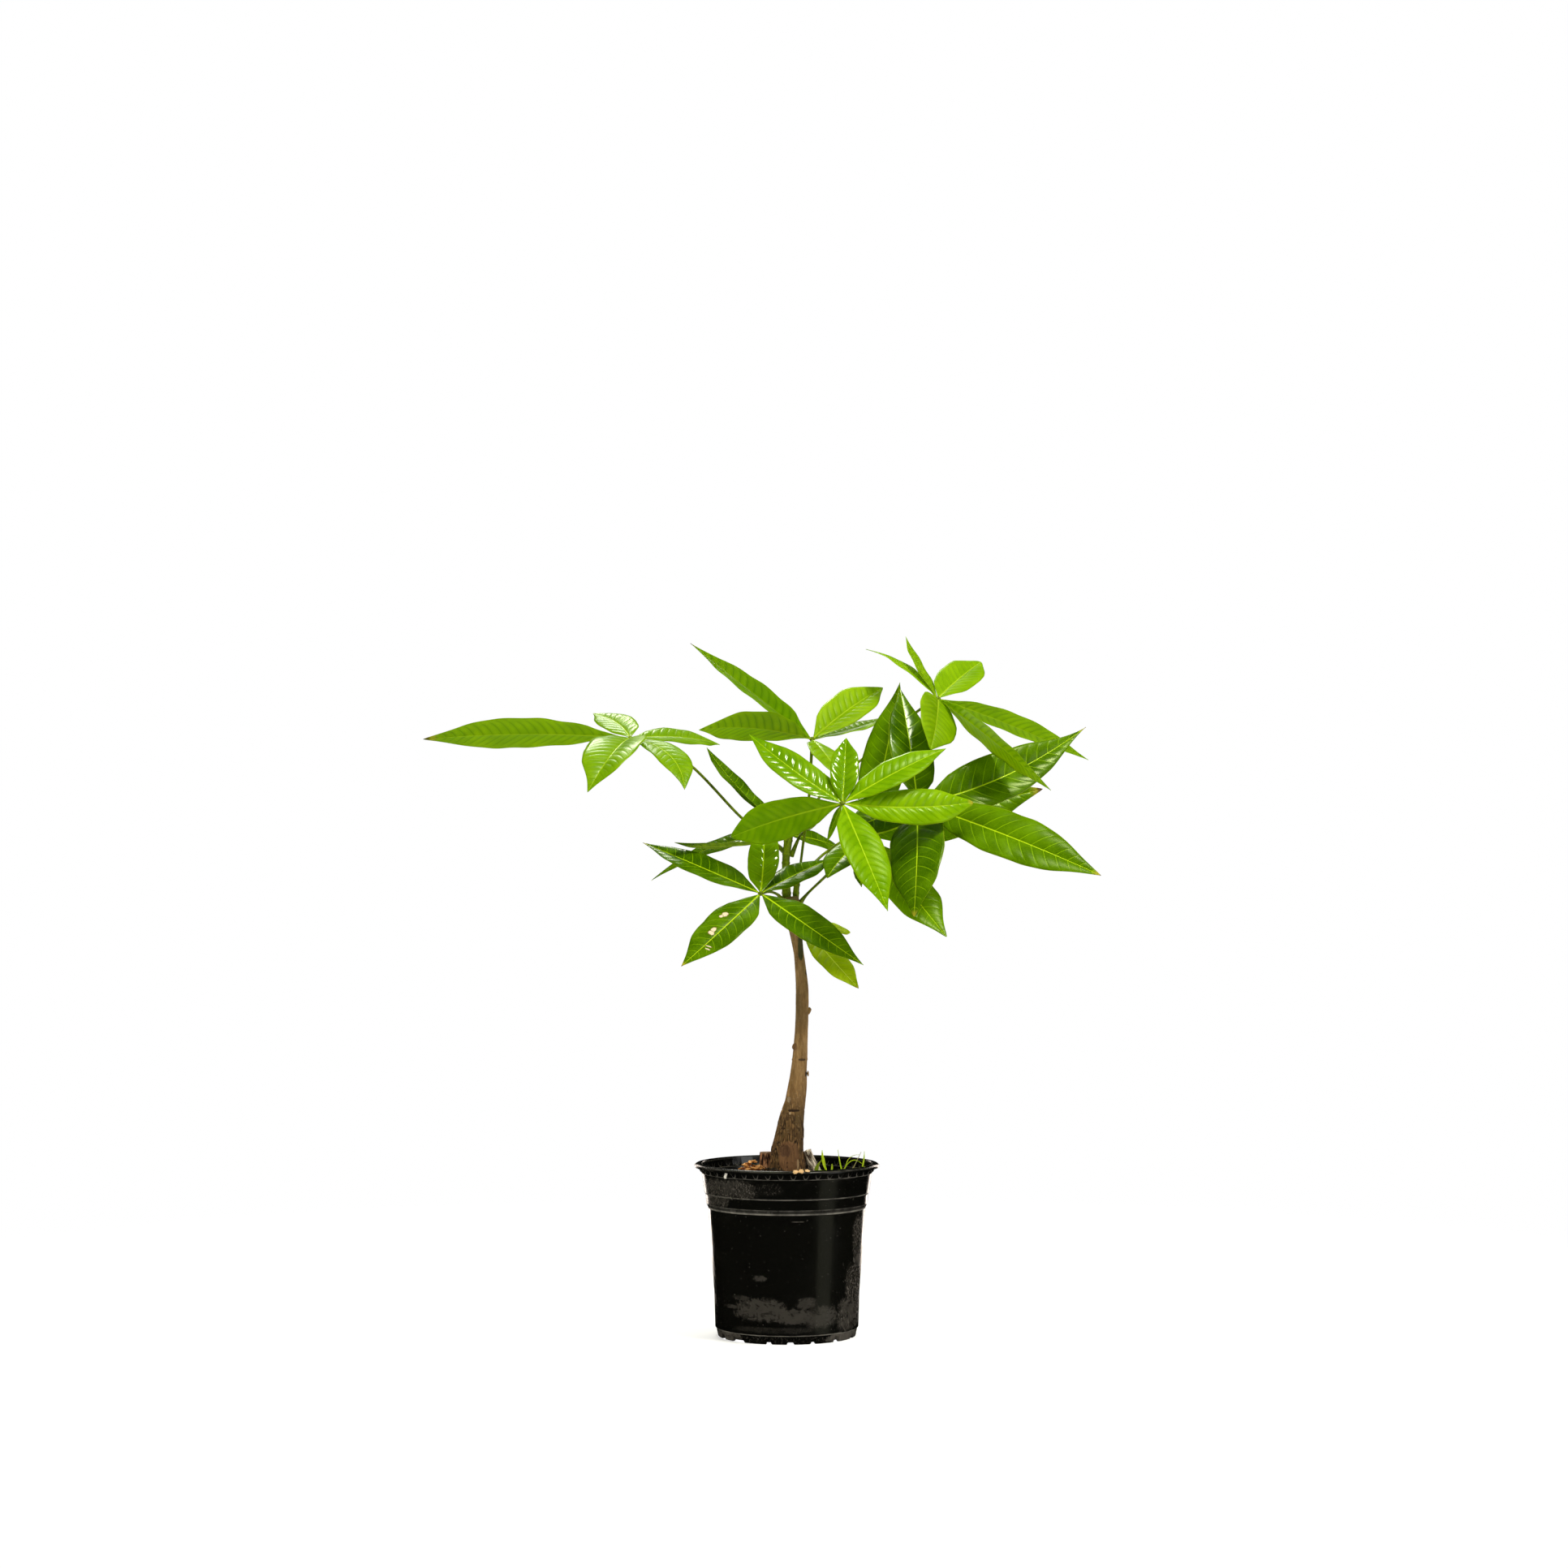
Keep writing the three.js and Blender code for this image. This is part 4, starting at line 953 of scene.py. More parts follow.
def ease(value, low, high, start=0.0, end=1.0):
    """Smooth step of a value between low and high, put out from start to end."""
    sockets = {"Value": value, "From Min": low, "From Max": high, "To Min": start, "To Max": end}
    return put("MapRange", sockets, interpolation_type="SMOOTHSTEP")


def blend(share, a, b):
    """One colour mix; share 0 gives a."""
    return put("Mix", {0: share, 6: a, 7: b}, 2, data_type="RGBA")


def grey(value):
    """A colour of three equal parts."""
    return put("CombineColor", {0: value, 1: value, 2: value})


def mark(tree, name):
    """A number stored on the mesh."""
    return put("Attribute", {}, "Fac", tree, attribute_name=name)


def parts(where):
    """X, Y and Z of coordinates."""
    node = where.tree.nodes.new("ShaderNodeSeparateXYZ")
    feed(node, {0: where})
    return [Wire(node, n) for n in range(3)]


def speckle(where, scale, detail=3.0, roughness=0.5, warp=0.0):
    """Noise texture value at the given coordinates."""
    sockets = {"Vector": where, "Scale": scale, "Detail": detail, "Roughness": roughness, "Distortion": warp}
    return put("TexNoise", sockets, "Fac")


def stretched(where, scale):
    """Coordinates scaled along each axis."""
    return put("Mapping", {"Vector": where, "Scale": scale})


def warped(where, scale, amount):
    """Coordinates pushed about by a noise of the given scale, by up to about half the amount."""
    push = put("TexNoise", {"Vector": where, "Scale": scale, "Detail": 3.0}, "Color")
    centred = put("VectorMath", {0: push, 1: (0.5, 0.5, 0.5)}, operation="SUBTRACT")
    return put("VectorMath", {0: centred, 1: (amount,) * 3, 2: where}, operation="MULTIPLY_ADD")


def bump(height, distance, strength):
    """The normal that a height gives."""
    return put("Bump", {"Height": height, "Distance": distance, "Strength": strength})


def effect(name, inputs, fill):
    """A shader node group. inputs gives the default of each number, or None for coordinates; fill(given)
    returns what each named output puts out."""
    group = bpy.data.node_groups.new(name, "ShaderNodeTree")
    for label, default in inputs.items():
        kind = "NodeSocketVector" if default is None else "NodeSocketFloat"
        socket = group.interface.new_socket(label, in_out="INPUT", socket_type=kind)
        if default is not None:
            socket.default_value = default
    entry = group.nodes.new("NodeGroupInput")
    results = fill({label: Wire(entry, label) for label in inputs})
    for label in results:
        group.interface.new_socket(label, in_out="OUTPUT", socket_type="NodeSocketFloat")
    feed(group.nodes.new("NodeGroupOutput"), results)
    return group


def use(tree, group, **values):
    """Places a node group and gives its outputs by name; underscores in a name stand for spaces."""
    node = tree.nodes.new("ShaderNodeGroup")
    node.node_tree = group
    feed(node, {key.replace("_", " "): value for key, value in values.items()})
    return {output.name: Wire(node, output.name) for output in node.outputs}


def fill_spot(given):
    """1 inside a squarish ellipse in X and Z on the front half, 0 outside, with an uneven edge."""
    x, y, z = parts(given["Place"])
    across = (x - given["Middle X"]) / given["Half Width"]
    upward = (z - given["Middle Z"]) / given["Half Height"]
    away = abs(across) ** 2.6 + abs(upward) ** 2.6
    away = away + (speckle(given["Place"], 220.0, 4.0, 0.7) - 0.5) * given["Ragged"]
    inside = ease(away, given["Soft"] + 0.9, 0.9 - given["Soft"])
    return {"Mask": inside * ease(y, 0.001, -0.002)}


def fill_line(given):
    """1 on a level line at a height, fading over its width, broken up by noise."""
    away = abs(parts(given["Place"])[2] - given["Height"])
    body = ease(away / given["Half Width"], 1.0, 0.35)
    grain = speckle(stretched(given["Place"], (1, 1, 0.3)), 60.0, 5.0, 0.65)
    return {"Mask": body * ease(grain, 0.36, 0.62, 0.35, 1.0)}


def fill_dust(given):
    """Cloudy patches with fine grit in them."""
    cloud = speckle(stretched(given["Place"], (1, 1, 1.7)), given["Scale"], 6.0, 0.62, 0.6)
    patch = ease(cloud, given["Clear"], given["Clear"] + 0.16)
    return {"Mask": patch * ease(speckle(given["Place"], 900.0, 2.0, 0.6), 0.4, 0.7, 0.45, 1.0)}


def fill_veins(given):
    """Midrib, side veins, the fine net between them and painted shade along the veins, from the numbers
    stored on the blade.
    """
    tree = given["Rib Width"].tree
    along, across = mark(tree, "along"), abs(mark(tree, "across"))
    rib, phase = mark(tree, "rib"), mark(tree, "phase")
    width = (1.25 - along) * given["Rib Width"]
    near = abs(calc("FRACT", phase + 0.5) - 0.5)
    fade = ease(across, 1.0, 0.55)
    flat = put("CombineXYZ", {0: rib * 420.0, 1: phase * 2.6})
    net = put("TexVoronoi", {"Vector": flat, "Scale": 1.0, "Randomness": 0.9}, "Distance",
              feature="DISTANCE_TO_EDGE", voronoi_dimensions="2D")
    return {
        "Midrib": ease(rib / width, 1.0, 0.45),
        "Side Veins": ease(near, given["Vein Width"], 0.008) * fade,
        "Net": ease(net, 0.10, 0.02),
        "Painted Vein Shade": ease(near, 0.42, 0.0) * fade,
        "Pillow": ease(near, 0.0, 0.22) * ease(across, 1.0, 0.7),
    }


spot_inputs = {"Place": None, "Middle X": 0.0, "Middle Z": 0.0, "Half Width": 0.01, "Half Height": 0.01,
               "Ragged": 1.0, "Soft": 0.2}
spot_group = effect("one spot on the front", spot_inputs, fill_spot)
line_group = effect("one pale level line", {"Place": None, "Height": 0.1, "Half Width": 0.001}, fill_line)
dust_group = effect("dust", {"Place": None, "Scale": 30.0, "Clear": 0.55}, fill_dust)
vein_group = effect("leaf veins", {"Rib Width": 0.0012, "Vein Width": 0.05}, fill_veins)


def new_finish(name):
    """An empty material, its Principled shader joined to its output, and Object coordinates."""
    made = bpy.data.materials.new(name)
    made.use_nodes = True
    tree = made.node_tree
    tree.nodes.clear()
    shader = tree.nodes.new("ShaderNodeBsdfPrincipled")
    feed(tree.nodes.new("ShaderNodeOutputMaterial"), {0: Wire(shader)})
    return made, shader, put("TexCoord", {}, "Object", tree)


def shine_through(made, shader, share, inputs):
    """Mixes a share of light that passes through a thin blade into the material."""
    both = put("MixShader", {0: share, 1: Wire(shader), 2: put("BsdfTranslucent", inputs)})
    feed(made.node_tree.get_output_node("ALL"), {0: both})


# Finishes


def leaf_finish(name, look, torn):
    """Blade: mottled green between dark and light, veins of their own colour with painted shade in bands
    along them, a yellow edge, a dry tip, and light that shines through the thin blade."""
    made, shader, place = new_finish(name)
    tree = place.tree
    veins = use(tree, vein_group, Rib_Width=0.00115, Vein_Width=look["vein_width"])
    cloud = speckle(place, 38.0, 4.0, 0.55)
    share = ease(cloud, 0.3, 0.7) * 0.45 + mark(tree, "tone") * 0.62
    colour = blend(share, look["dark"], look["light"])
    # Painted shade: a band along each side vein is darkened toward the dark green, where the creases lie.
    colour = blend(veins["Painted Vein Shade"] * look["painted_vein_shade"], colour, look["dark"])
    colour = blend(veins["Net"] * 0.14, colour, look["vein"])
    colour = blend(veins["Side Veins"] * look["vein_share"], colour, look["vein"])
    colour = blend(veins["Midrib"], colour, look["rib"])
    margin = ease(abs(mark(tree, "across")), 0.965, 1.0, 0.0, 0.5)
    colour = blend(margin, colour, rgb(0.42, 0.50, 0.02))

    dry, along = mark(tree, "dry"), mark(tree, "along")
    reach = along + (speckle(place, 260.0) - 0.5) * 0.03 + abs(dry)
    yellow = ease(reach, 0.955, 0.995) * ease(abs(dry), 0.0, 0.004)
    brown = ease(reach, 0.995, 1.01) * ease(dry, 0.0, 0.004)
    colour = blend(yellow * 0.85, colour, rgb(0.46, 0.38, 0.03))
    colour = blend(brown, colour, rgb(0.13, 0.045, 0.012))
    if torn:
        colour = torn_marks(colour, along, place)

    sheen = mark(tree, "sheen")
    rough = ease(cloud, 0.2, 0.8, look["roughness"] - 0.05, look["roughness"] + 0.07)
    normal = bump(veins["Pillow"] * look["relief"], 0.00075, 0.8)
    feed(shader, {
        "Base Color": colour,
        "Roughness": rough * (1.3 - sheen * 0.3),
        "Specular IOR Level": sheen * look["shine"],
        "Specular Tint": blend(ease(sheen, 0.9, 1.3), LEAF_SHEEN, WAXY_SHEEN),
        "Normal": normal,
    })
    glow = blend(0.7, colour, look["glow"])
    shine_through(made, shader, look["glow_share"], {"Color": glow, "Normal": normal})
    return made


def torn_marks(colour, along, place):
    """Pale eaten patches, tan cracks and their brown edges on one old leaflet, placed by its own t and v."""
    across = mark(place.tree, "across")
    ragged = (speckle(place, 330.0, 3.0, 0.7) - 0.5) * 1.7
    for t, v, half_length, half_width in TEARS:
        a = (along - t) / half_length
        b = (across - v) / half_width
        away = a * a + b * b + ragged
        colour = blend(ease(away, 1.7, 1.1), colour, rgb(0.20, 0.13, 0.03))
        colour = blend(ease(away, 1.05, 0.8), colour, rgb(0.85, 0.72, 0.5))
    return colour


def stem_finish():
    """Petioles and young shoots: streaked green with paler flecks, browner where it meets the bark."""
    made, shader, place = new_finish("green stem skin")
    streak = speckle(stretched(place, (1, 1, 0.25)), 260.0, 4.0, 0.6)
    fleck = ease(speckle(place, 620.0, 2.0, 0.5), 0.60, 0.72)
    height = parts(place)[2]
    colour = blend(ease(streak, 0.3, 0.7), rgb(0.070, 0.115, 0.002), rgb(0.19, 0.26, 0.004))
    colour = blend(ease(height, 0.50, 0.47, 0.0, 0.5), colour, rgb(0.11, 0.10, 0.03))
    colour = blend(fleck * 0.5, colour, rgb(0.30, 0.33, 0.10))
    feed(shader, {"Base Color": colour, "Roughness": 0.42, "Specular IOR Level": 0.35,
                  "Specular Tint": LEAF_SHEEN, "Normal": bump(streak, 0.0004, 0.5)})
    return made


def bark_finish():
    """Trunk bark: grey brown, smoother and lighter upward, cracked low down, with the cut patch and scars."""
    made, shader, place = new_finish("trunk bark")
    height = parts(place)[2]
    low = ease(height, 0.31, 0.21)
    streak = speckle(stretched(place, (1, 1, 0.22)), 210.0, 6.0, 0.68)
    broad = speckle(stretched(place, (1, 1, 0.5)), 48.0, 3.0, 0.5)
    loose = warped(stretched(place, (1, 1, 0.24)), 190.0, 0.0065)
    cells = put("TexVoronoi", {"Vector": loose, "Scale": 330.0}, "Distance", feature="DISTANCE_TO_EDGE")
    crack = ease(cells, 0.27, 0.04) * ease(streak, 0.41, 0.55) * ease(low, 0.0, 1.0, 0.18, 0.95)
    upper = blend(ease(streak, 0.30, 0.70), rgb(0.180, 0.098, 0.032), rgb(0.430, 0.255, 0.100))
    lower = blend(ease(streak, 0.32, 0.68), rgb(0.080, 0.038, 0.013), rgb(0.440, 0.235, 0.088))
    colour = blend(low, upper, lower)
    colour = blend(ease(broad, 0.42, 0.68, 0.0, 0.45), colour, rgb(0.095, 0.070, 0.028))
    colour = blend(crack, colour, rgb(0.020, 0.011, 0.006))
    pores = ease(speckle(stretched(place, (1, 1, 2.4)), 430.0, 1.0, 0.4), 0.67, 0.73)
    colour = blend(pores * 0.55, colour, rgb(0.34, 0.25, 0.15))
    colour = blend(ease(height, 0.43, 0.50, 0.0, 0.75), colour, rgb(0.13, 0.115, 0.025))
    for x, z, half_width, half_height, ragged, share, tint in BARK_SPOTS:
        spot = use(place.tree, spot_group, Place=place, Middle_X=x, Middle_Z=z, Half_Width=half_width,
                   Half_Height=half_height, Ragged=ragged)["Mask"]
        colour = blend(spot * share, colour, rgb(*tint))
    relief = streak + speckle(place, 1100.0, 3.0, 0.6) * 0.3 - crack
    feed(shader, {"Base Color": colour, "Roughness": ease(height, 0.25, 0.45, 0.86, 0.62),
                  "Specular IOR Level": 0.2, "Normal": bump(relief, 0.0011, 0.8)})
    return made


def pot_finish():
    """Glossy black moulded plastic: rubbed pale edges, a painted highlight line along the lip's top edge,
    smears above the foot, dust, specks, scallop edges.
    """
    made, shader, place = new_finish("black pot plastic")
    tree = place.tree
    x, y, height = parts(place)
    dust = use(tree, dust_group, Place=place, Scale=17.0, Clear=0.57)["Mask"]
    grime = dust * ease(height, 0.150, 0.168, 0.12, 0.8) * 0.30
    foot = ease(height, 0.0105, 0.0065) * 0.30
    grit = ease(speckle(stretched(place, (1, 1, 0.6)), 620.0, 3.0, 0.7), 0.52, 0.68)
    grime = most(grime, foot * grit)
    grime = most(grime, ease(speckle(place, 520.0, 1.0, 0.4), 0.75, 0.80) * 0.45)
    cloud = ease(speckle(stretched(place, (1, 1, 1.6)), 75.0, 5.0, 0.6, 0.8), 0.33, 0.52, 0.3, 1.0)
    for middle, level, half_width, half_height, ragged, share, gritty in SMEARS:
        spot = use(tree, spot_group, Place=place, Middle_X=middle, Middle_Z=level, Half_Width=half_width,
                   Half_Height=half_height, Ragged=ragged, Soft=0.55)["Mask"]
        spot = spot * (grit * gritty + (1.0 - gritty)) * cloud
        grime = most(grime, spot * share)
    colour = blend(grime, rgb(0.0030, 0.0030, 0.0022), rgb(0.115, 0.100, 0.080))

    # Pale level lines and edges: wear, and along the lip's top edge a painted highlight.
    wear_and_highlight = 0.0
    for level, half_width, share in WORN_AND_HIGHLIGHT_LINES:
        line = use(tree, line_group, Place=place, Height=level, Half_Width=half_width)["Mask"]
        wear_and_highlight = most(wear_and_highlight, line * share)
    outside = ease(calc("SQRT", x * x + y * y) - height * 0.08, 0.0760, 0.0768)
    wear_and_highlight = most(wear_and_highlight * outside, scallop_edges(x, y, height))
    streaks = ease(speckle(stretched(place, (1, 1, 0.2)), 240.0, 4.0, 0.65), 0.46, 0.68, 0.0, 0.30)
    wear_and_highlight = most(wear_and_highlight, streaks * (1.0 - outside))
    colour = blend(wear_and_highlight, colour, rgb(0.20, 0.185, 0.155))

    cloudy = ease(speckle(place, 40.0, 4.0), 0.3, 0.7, 0.14, 0.24)
    dull = most(most(grime, wear_and_highlight), 0.8 - outside)
    feed(shader, {"Base Color": colour, "Roughness": cloudy + dull * 0.45, "Specular IOR Level": 0.40,
                  "Normal": bump(speckle(place, 240.0, 3.0, 0.5), 0.00012, 0.3)})
    return made


def scallop_edges(x, y, height):
    """Rubbed outline of each U-shaped tongue under the rim: where the height is near its power curve."""
    turn = calc("ARCTAN2", x, y * -1.0)
    cell = calc("FRACT", turn * (POT_SCALLOPS / (2 * math.pi)) + 10.0)
    across = abs(cell - 0.5)
    curve = (across / TONGUE_SHARE) ** TONGUE_POWER * TONGUE_TALL
    edge = ease(abs(height - TONGUE_FOOT - curve), 0.0012, 0.0003)
    band = ease(height, LEDGE[1] - 0.0002, LEDGE[1] + 0.0004) * ease(height, RIM_UNDER, RIM_UNDER - 0.001)
    narrow = ease(across, TONGUE_SHARE * 1.02, TONGUE_SHARE * 0.8)
    return edge * band * (narrow * 0.38)


def soil_finish():
    """Damp crumbs of peat and bark: dark to brown by noise, with small pale fibres."""
    made, shader, place = new_finish("potting soil")
    grain = speckle(place, 300.0, 6.0, 0.7)
    fibre = ease(speckle(stretched(place, (1.0, 0.35, 1.0)), 520.0, 2.0, 0.5), 0.66, 0.74)
    colour = blend(ease(grain, 0.35, 0.72), rgb(0.009, 0.006, 0.004), rgb(0.045, 0.028, 0.015))
    colour = blend(fibre * 0.5, colour, rgb(0.16, 0.10, 0.05))
    feed(shader, {"Base Color": colour, "Roughness": 0.9, "Specular IOR Level": 0.25,
                  "Normal": bump(grain, 0.0012, 0.9)})
    return made


def crumb_finish(name, dark, pale):
    """Loose crumbs or chips: each takes its own shade from its stored tone, with a woody streak."""
    made, shader, place = new_finish(name)
    streak = speckle(stretched(place, (0.5, 1.4, 1.0)), 520.0, 4.0, 0.65)
    share = mark(place.tree, "tone") * 0.7 + streak * 0.4
    feed(shader, {"Base Color": blend(share, dark, pale), "Roughness": 0.88,
                  "Normal": bump(streak, 0.0006, 0.9)})
    return made


def root_finish():
    """Dry fibres: cream strands with dark splits between them, along the root's slant."""
    made, shader, place = new_finish("pale root")
    upright = put("Mapping", {"Vector": place, "Rotation": (0.0, ROOT_SLANT, 0.0)})
    strands = speckle(stretched(upright, (1, 1, 0.14)), 560.0, 4.0, 0.65)
    colour = blend(ease(strands, 0.40, 0.60), rgb(0.075, 0.045, 0.025), rgb(1.0, 0.86, 0.66))
    feed(shader, {"Base Color": colour, "Roughness": 0.85, "Specular IOR Level": 0.2,
                  "Normal": bump(strands, 0.0012, 0.9)})
    return made


def cut_wood_finish():
    """Sawn stub: brown ridged bark outside; the level cut on top is paler with dark rings."""
    made, shader, place = new_finish("sawn stub")
    x, y, top, _ = STUMP[-1]
    grain = speckle(stretched(place, (1, 1, 0.3)), 330.0, 5.0, 0.7)
    bark = blend(ease(grain, 0.40, 0.64), rgb(0.016, 0.006, 0.003), rgb(0.520, 0.260, 0.125))
    centred = put("Mapping", {"Vector": place, "Location": (-x, -y, -top)})
    rings = put("TexWave", {"Vector": centred, "Scale": 200.0, "Distortion": 2.0}, "Fac",
                wave_type="RINGS", rings_direction="Z")
    wood = blend(rings, rgb(0.14, 0.075, 0.035), rgb(0.26, 0.160, 0.085))
    colour = blend(ease(parts(place)[2], top - 0.0012, top - 0.0002), bark, wood)
    feed(shader, {"Base Color": colour, "Roughness": 0.85, "Normal": bump(grain, 0.0010, 0.9)})
    return made


def grass_finish():
    """Thin weed blades: yellow green with fine lengthwise lines, lit through."""
    made, shader, place = new_finish("weed blade")
    tone = mark(place.tree, "tone")
    lines = speckle(stretched(place, (1, 1, 0.1)), 700.0, 3.0, 0.6)
    green = blend(ease(lines, 0.3, 0.7), rgb(0.46, 0.68, 0.01), rgb(0.92, 0.99, 0.10))
    colour = blend(tone, rgb(0.030, 0.060, 0.006), green)
    colour = blend(ease(tone, 1.0, 1.6), colour, rgb(0.55, 0.52, 0.24))
    feed(shader, {"Base Color": colour, "Roughness": 0.45, "Specular IOR Level": 0.25})
    shine_through(made, shader, 0.45, {"Color": colour})
    return made


def floor_finish():
    """Plain pale studio floor with a barely seen unevenness; it fades into the white behind it. For camera
    rays
    it glows white as painted light: fully under the pot, inside the foot ring, and faintly beyond it.
    """
    made, shader, place = new_finish("studio floor")
    away = put("VectorMath", {0: place}, "Value", operation="LENGTH")
    seen = put("LightPath", {}, "Is Camera Ray", place.tree)
    feed(shader, {
        "Base Color": grey(ease(speckle(place, 3.0, 3.0), 0.3, 0.7, 0.86, 0.88)),
        "Alpha": ease(away, FLOOR_FADE[0], FLOOR_FADE[1], 1.0, 0.0),
        "Roughness": 0.9,
        "Specular IOR Level": 0.1,
        # Painted light: camera rays see the floor glow, at 1 inside the foot ring, where shade lies, and 0.2
        # beyond.
        "Emission Color": rgb(1, 1, 1),
        "Emission Strength": seen * ease(away, FOOT_RADIUS - 0.001, FOOT_RADIUS + 0.001, 1.0, 0.2),
    })
    return made


# In each underside look the side veins are darker than the blade: painted shade of the veins in light shining
# through.
YOUNG_TOP = dict(
    dark=rgb(0.085, 0.235, 0.0001), light=rgb(0.300, 0.520, 0.0002), vein=rgb(0.180, 0.380, 0.0003),
    rib=rgb(0.46, 0.66, 0.01), glow=rgb(0.45, 0.78, 0.0003), glow_share=0.26, roughness=0.20, shine=0.42,
    painted_vein_shade=0.30, vein_share=0.4, vein_width=0.05, relief=0.40,
)
YOUNG_UNDER = dict(
    dark=rgb(0.165, 0.340, 0.0003), light=rgb(0.340, 0.540, 0.0005), vein=rgb(0.110, 0.240, 0.0005),
    rib=rgb(0.40, 0.58, 0.04), glow=rgb(0.45, 0.76, 0.0005), glow_share=0.34, roughness=0.42, shine=0.22,
    painted_vein_shade=0.45, vein_share=0.5, vein_width=0.06, relief=0.30,
)
CROWN_TOP = dict(
    dark=rgb(0.130, 0.290, 0.0001), light=rgb(0.370, 0.560, 0.0002), vein=rgb(0.380, 0.530, 0.004),
    rib=rgb(0.46, 0.62, 0.02), glow=rgb(0.48, 0.76, 0.0003), glow_share=0.36, roughness=0.32, shine=0.34,
    painted_vein_shade=0.55, vein_share=0.5, vein_width=0.06, relief=0.30,
)
CROWN_UNDER = dict(
    dark=rgb(0.170, 0.330, 0.0001), light=rgb(0.430, 0.600, 0.0002), vein=rgb(0.080, 0.200, 0.0002),
    rib=rgb(0.46, 0.60, 0.02), glow=rgb(0.56, 0.82, 0.0003), glow_share=0.42, roughness=0.56, shine=0.22,
    painted_vein_shade=0.60, vein_share=0.8, vein_width=0.065, relief=0.30,
)
OLD_TOP = dict(
    dark=rgb(0.018, 0.066, 0.00005), light=rgb(0.150, 0.300, 0.0001), vein=rgb(0.300, 0.520, 0.003),
    rib=rgb(0.52, 0.72, 0.01), glow=rgb(0.30, 0.58, 0.0003), glow_share=0.19, roughness=0.20, shine=0.40,
    painted_vein_shade=0.12, vein_share=0.8, vein_width=0.046, relief=0.18,
)
OLD_UNDER = dict(
    dark=rgb(0.085, 0.180, 0.0002), light=rgb(0.290, 0.430, 0.0005), vein=rgb(0.060, 0.130, 0.0003),
    rib=rgb(0.38, 0.50, 0.03), glow=rgb(0.42, 0.66, 0.0005), glow_share=0.32, roughness=0.45, shine=0.18,
    painted_vein_shade=0.35, vein_share=0.55, vein_width=0.045, relief=0.20,
)
LOW_TOP = dict(
    dark=rgb(0.230, 0.360, 0.0005), light=rgb(0.560, 0.690, 0.0008), vein=rgb(0.740, 0.820, 0.030),
    rib=rgb(0.88, 0.94, 0.12), glow=rgb(0.70, 0.82, 0.0005), glow_share=0.34, roughness=0.34, shine=0.30,
    painted_vein_shade=0.30, vein_share=0.6, vein_width=0.06, relief=0.30,
)
LOOKS = {
    "young": ("young leaf", YOUNG_TOP, YOUNG_UNDER),
    "lit": ("upper crown leaf", CROWN_TOP, CROWN_UNDER),
    "mature": ("mature leaf", OLD_TOP, OLD_UNDER),
    "low": ("low leaf", LOW_TOP, CROWN_UNDER),
    "torn": ("torn leaf", OLD_TOP, OLD_UNDER),
}
SKINS = {}
for key, (name, top, under) in LOOKS.items():
    torn = key == "torn"
    SKINS[key] = (leaf_finish(name + " top", top, torn), leaf_finish(name + " underside", under, torn))
STEM = stem_finish()
BARK = bark_finish()
POT = pot_finish()
SOIL = soil_finish()
CRUMB = crumb_finish("soil crumb", rgb(0.006, 0.004, 0.003), rgb(0.085, 0.050, 0.026))
CHIP = crumb_finish("bark chip", rgb(0.20, 0.065, 0.014), rgb(0.98, 0.50, 0.16))
CUT_WOOD = cut_wood_finish()
ROOT = root_finish()
GRASS = grass_finish()
FLAKE = crumb_finish("tan flake", rgb(0.45, 0.24, 0.08), rgb(0.85, 0.56, 0.27))
FLECK = crumb_finish("pale fleck", rgb(0.62, 0.57, 0.50), rgb(0.85, 0.80, 0.72))

# The pot, the soil and what stands in it


def drained(pot):
    """Cuts the drain holes, evenly spaced round a circle, through the pot's floor with one cutter of rods."""
    rods = []
    for n in range(DRAINS):
        turn = 2 * math.pi * (n + 0.5) / DRAINS
        x, y = DRAIN_RING * math.cos(turn), DRAIN_RING * math.sin(turn)
        rods.append(limb([(x, y, z, DRAIN_RADIUS) for z in DRAIN_ROD], ring_step=0.004, sides=24))
    cutter = piece("drain_cutter", rods, [POT])
    cut = pot.modifiers.new("drains", "BOOLEAN")
    cut.operation = "DIFFERENCE"
    cut.solver = "EXACT"
    cut.object = cutter
    evaluated = pot.evaluated_get(bpy.context.evaluated_depsgraph_get())
    opened = bpy.data.meshes.new_from_object(evaluated)
    pot.modifiers.clear()
    pot.data = opened
    bpy.data.objects.remove(cutter)


pot = piece("nursery_pot", [pot_skin()], [POT], ["pot"])
drained(pot)

piece("potting_soil", [soil_skin()], [SOIL], ["soil"])
crumbs = scatter(1700, seed=11, ring=(0.020, 0.089), size=(0.0008, 0.0024), flatness=0.7, lift=0.0004)
piece("soil_crumbs", [crumbs], [CRUMB])

trunk_skins = [limb(TRUNK, ring_step=0.0011, sides=104, relief=trunk_relief)]
for centre, size, turn, rough, seed, sides, rings in TRUNK_KNOTS:
    trunk_skins.append(lump(centre, size, turn, rough, seed, sides=sides, rings=rings))
piece("trunk_bark", trunk_skins, [BARK], ["trunk"])
for name, line in (("main", MAIN_SHOOT), ("side", SIDE_SHOOT)):
    shoot = limb(line, ring_step=0.0009, sides=40, relief=shoot_relief)
    piece(name + "_green_shoot", [shoot], [STEM], [name + "_shoot"])

stump = limb(STUMP, ring_step=0.0009, sides=72, relief=stump_relief)
piece("sawn_stump", [stump], [CUT_WOOD], ["stump"])
root = limb(ROOT_LINE, ring_step=0.0008, sides=72, relief=root_relief)
piece("pale_root_flare", [root], [ROOT], ["root_flare"])

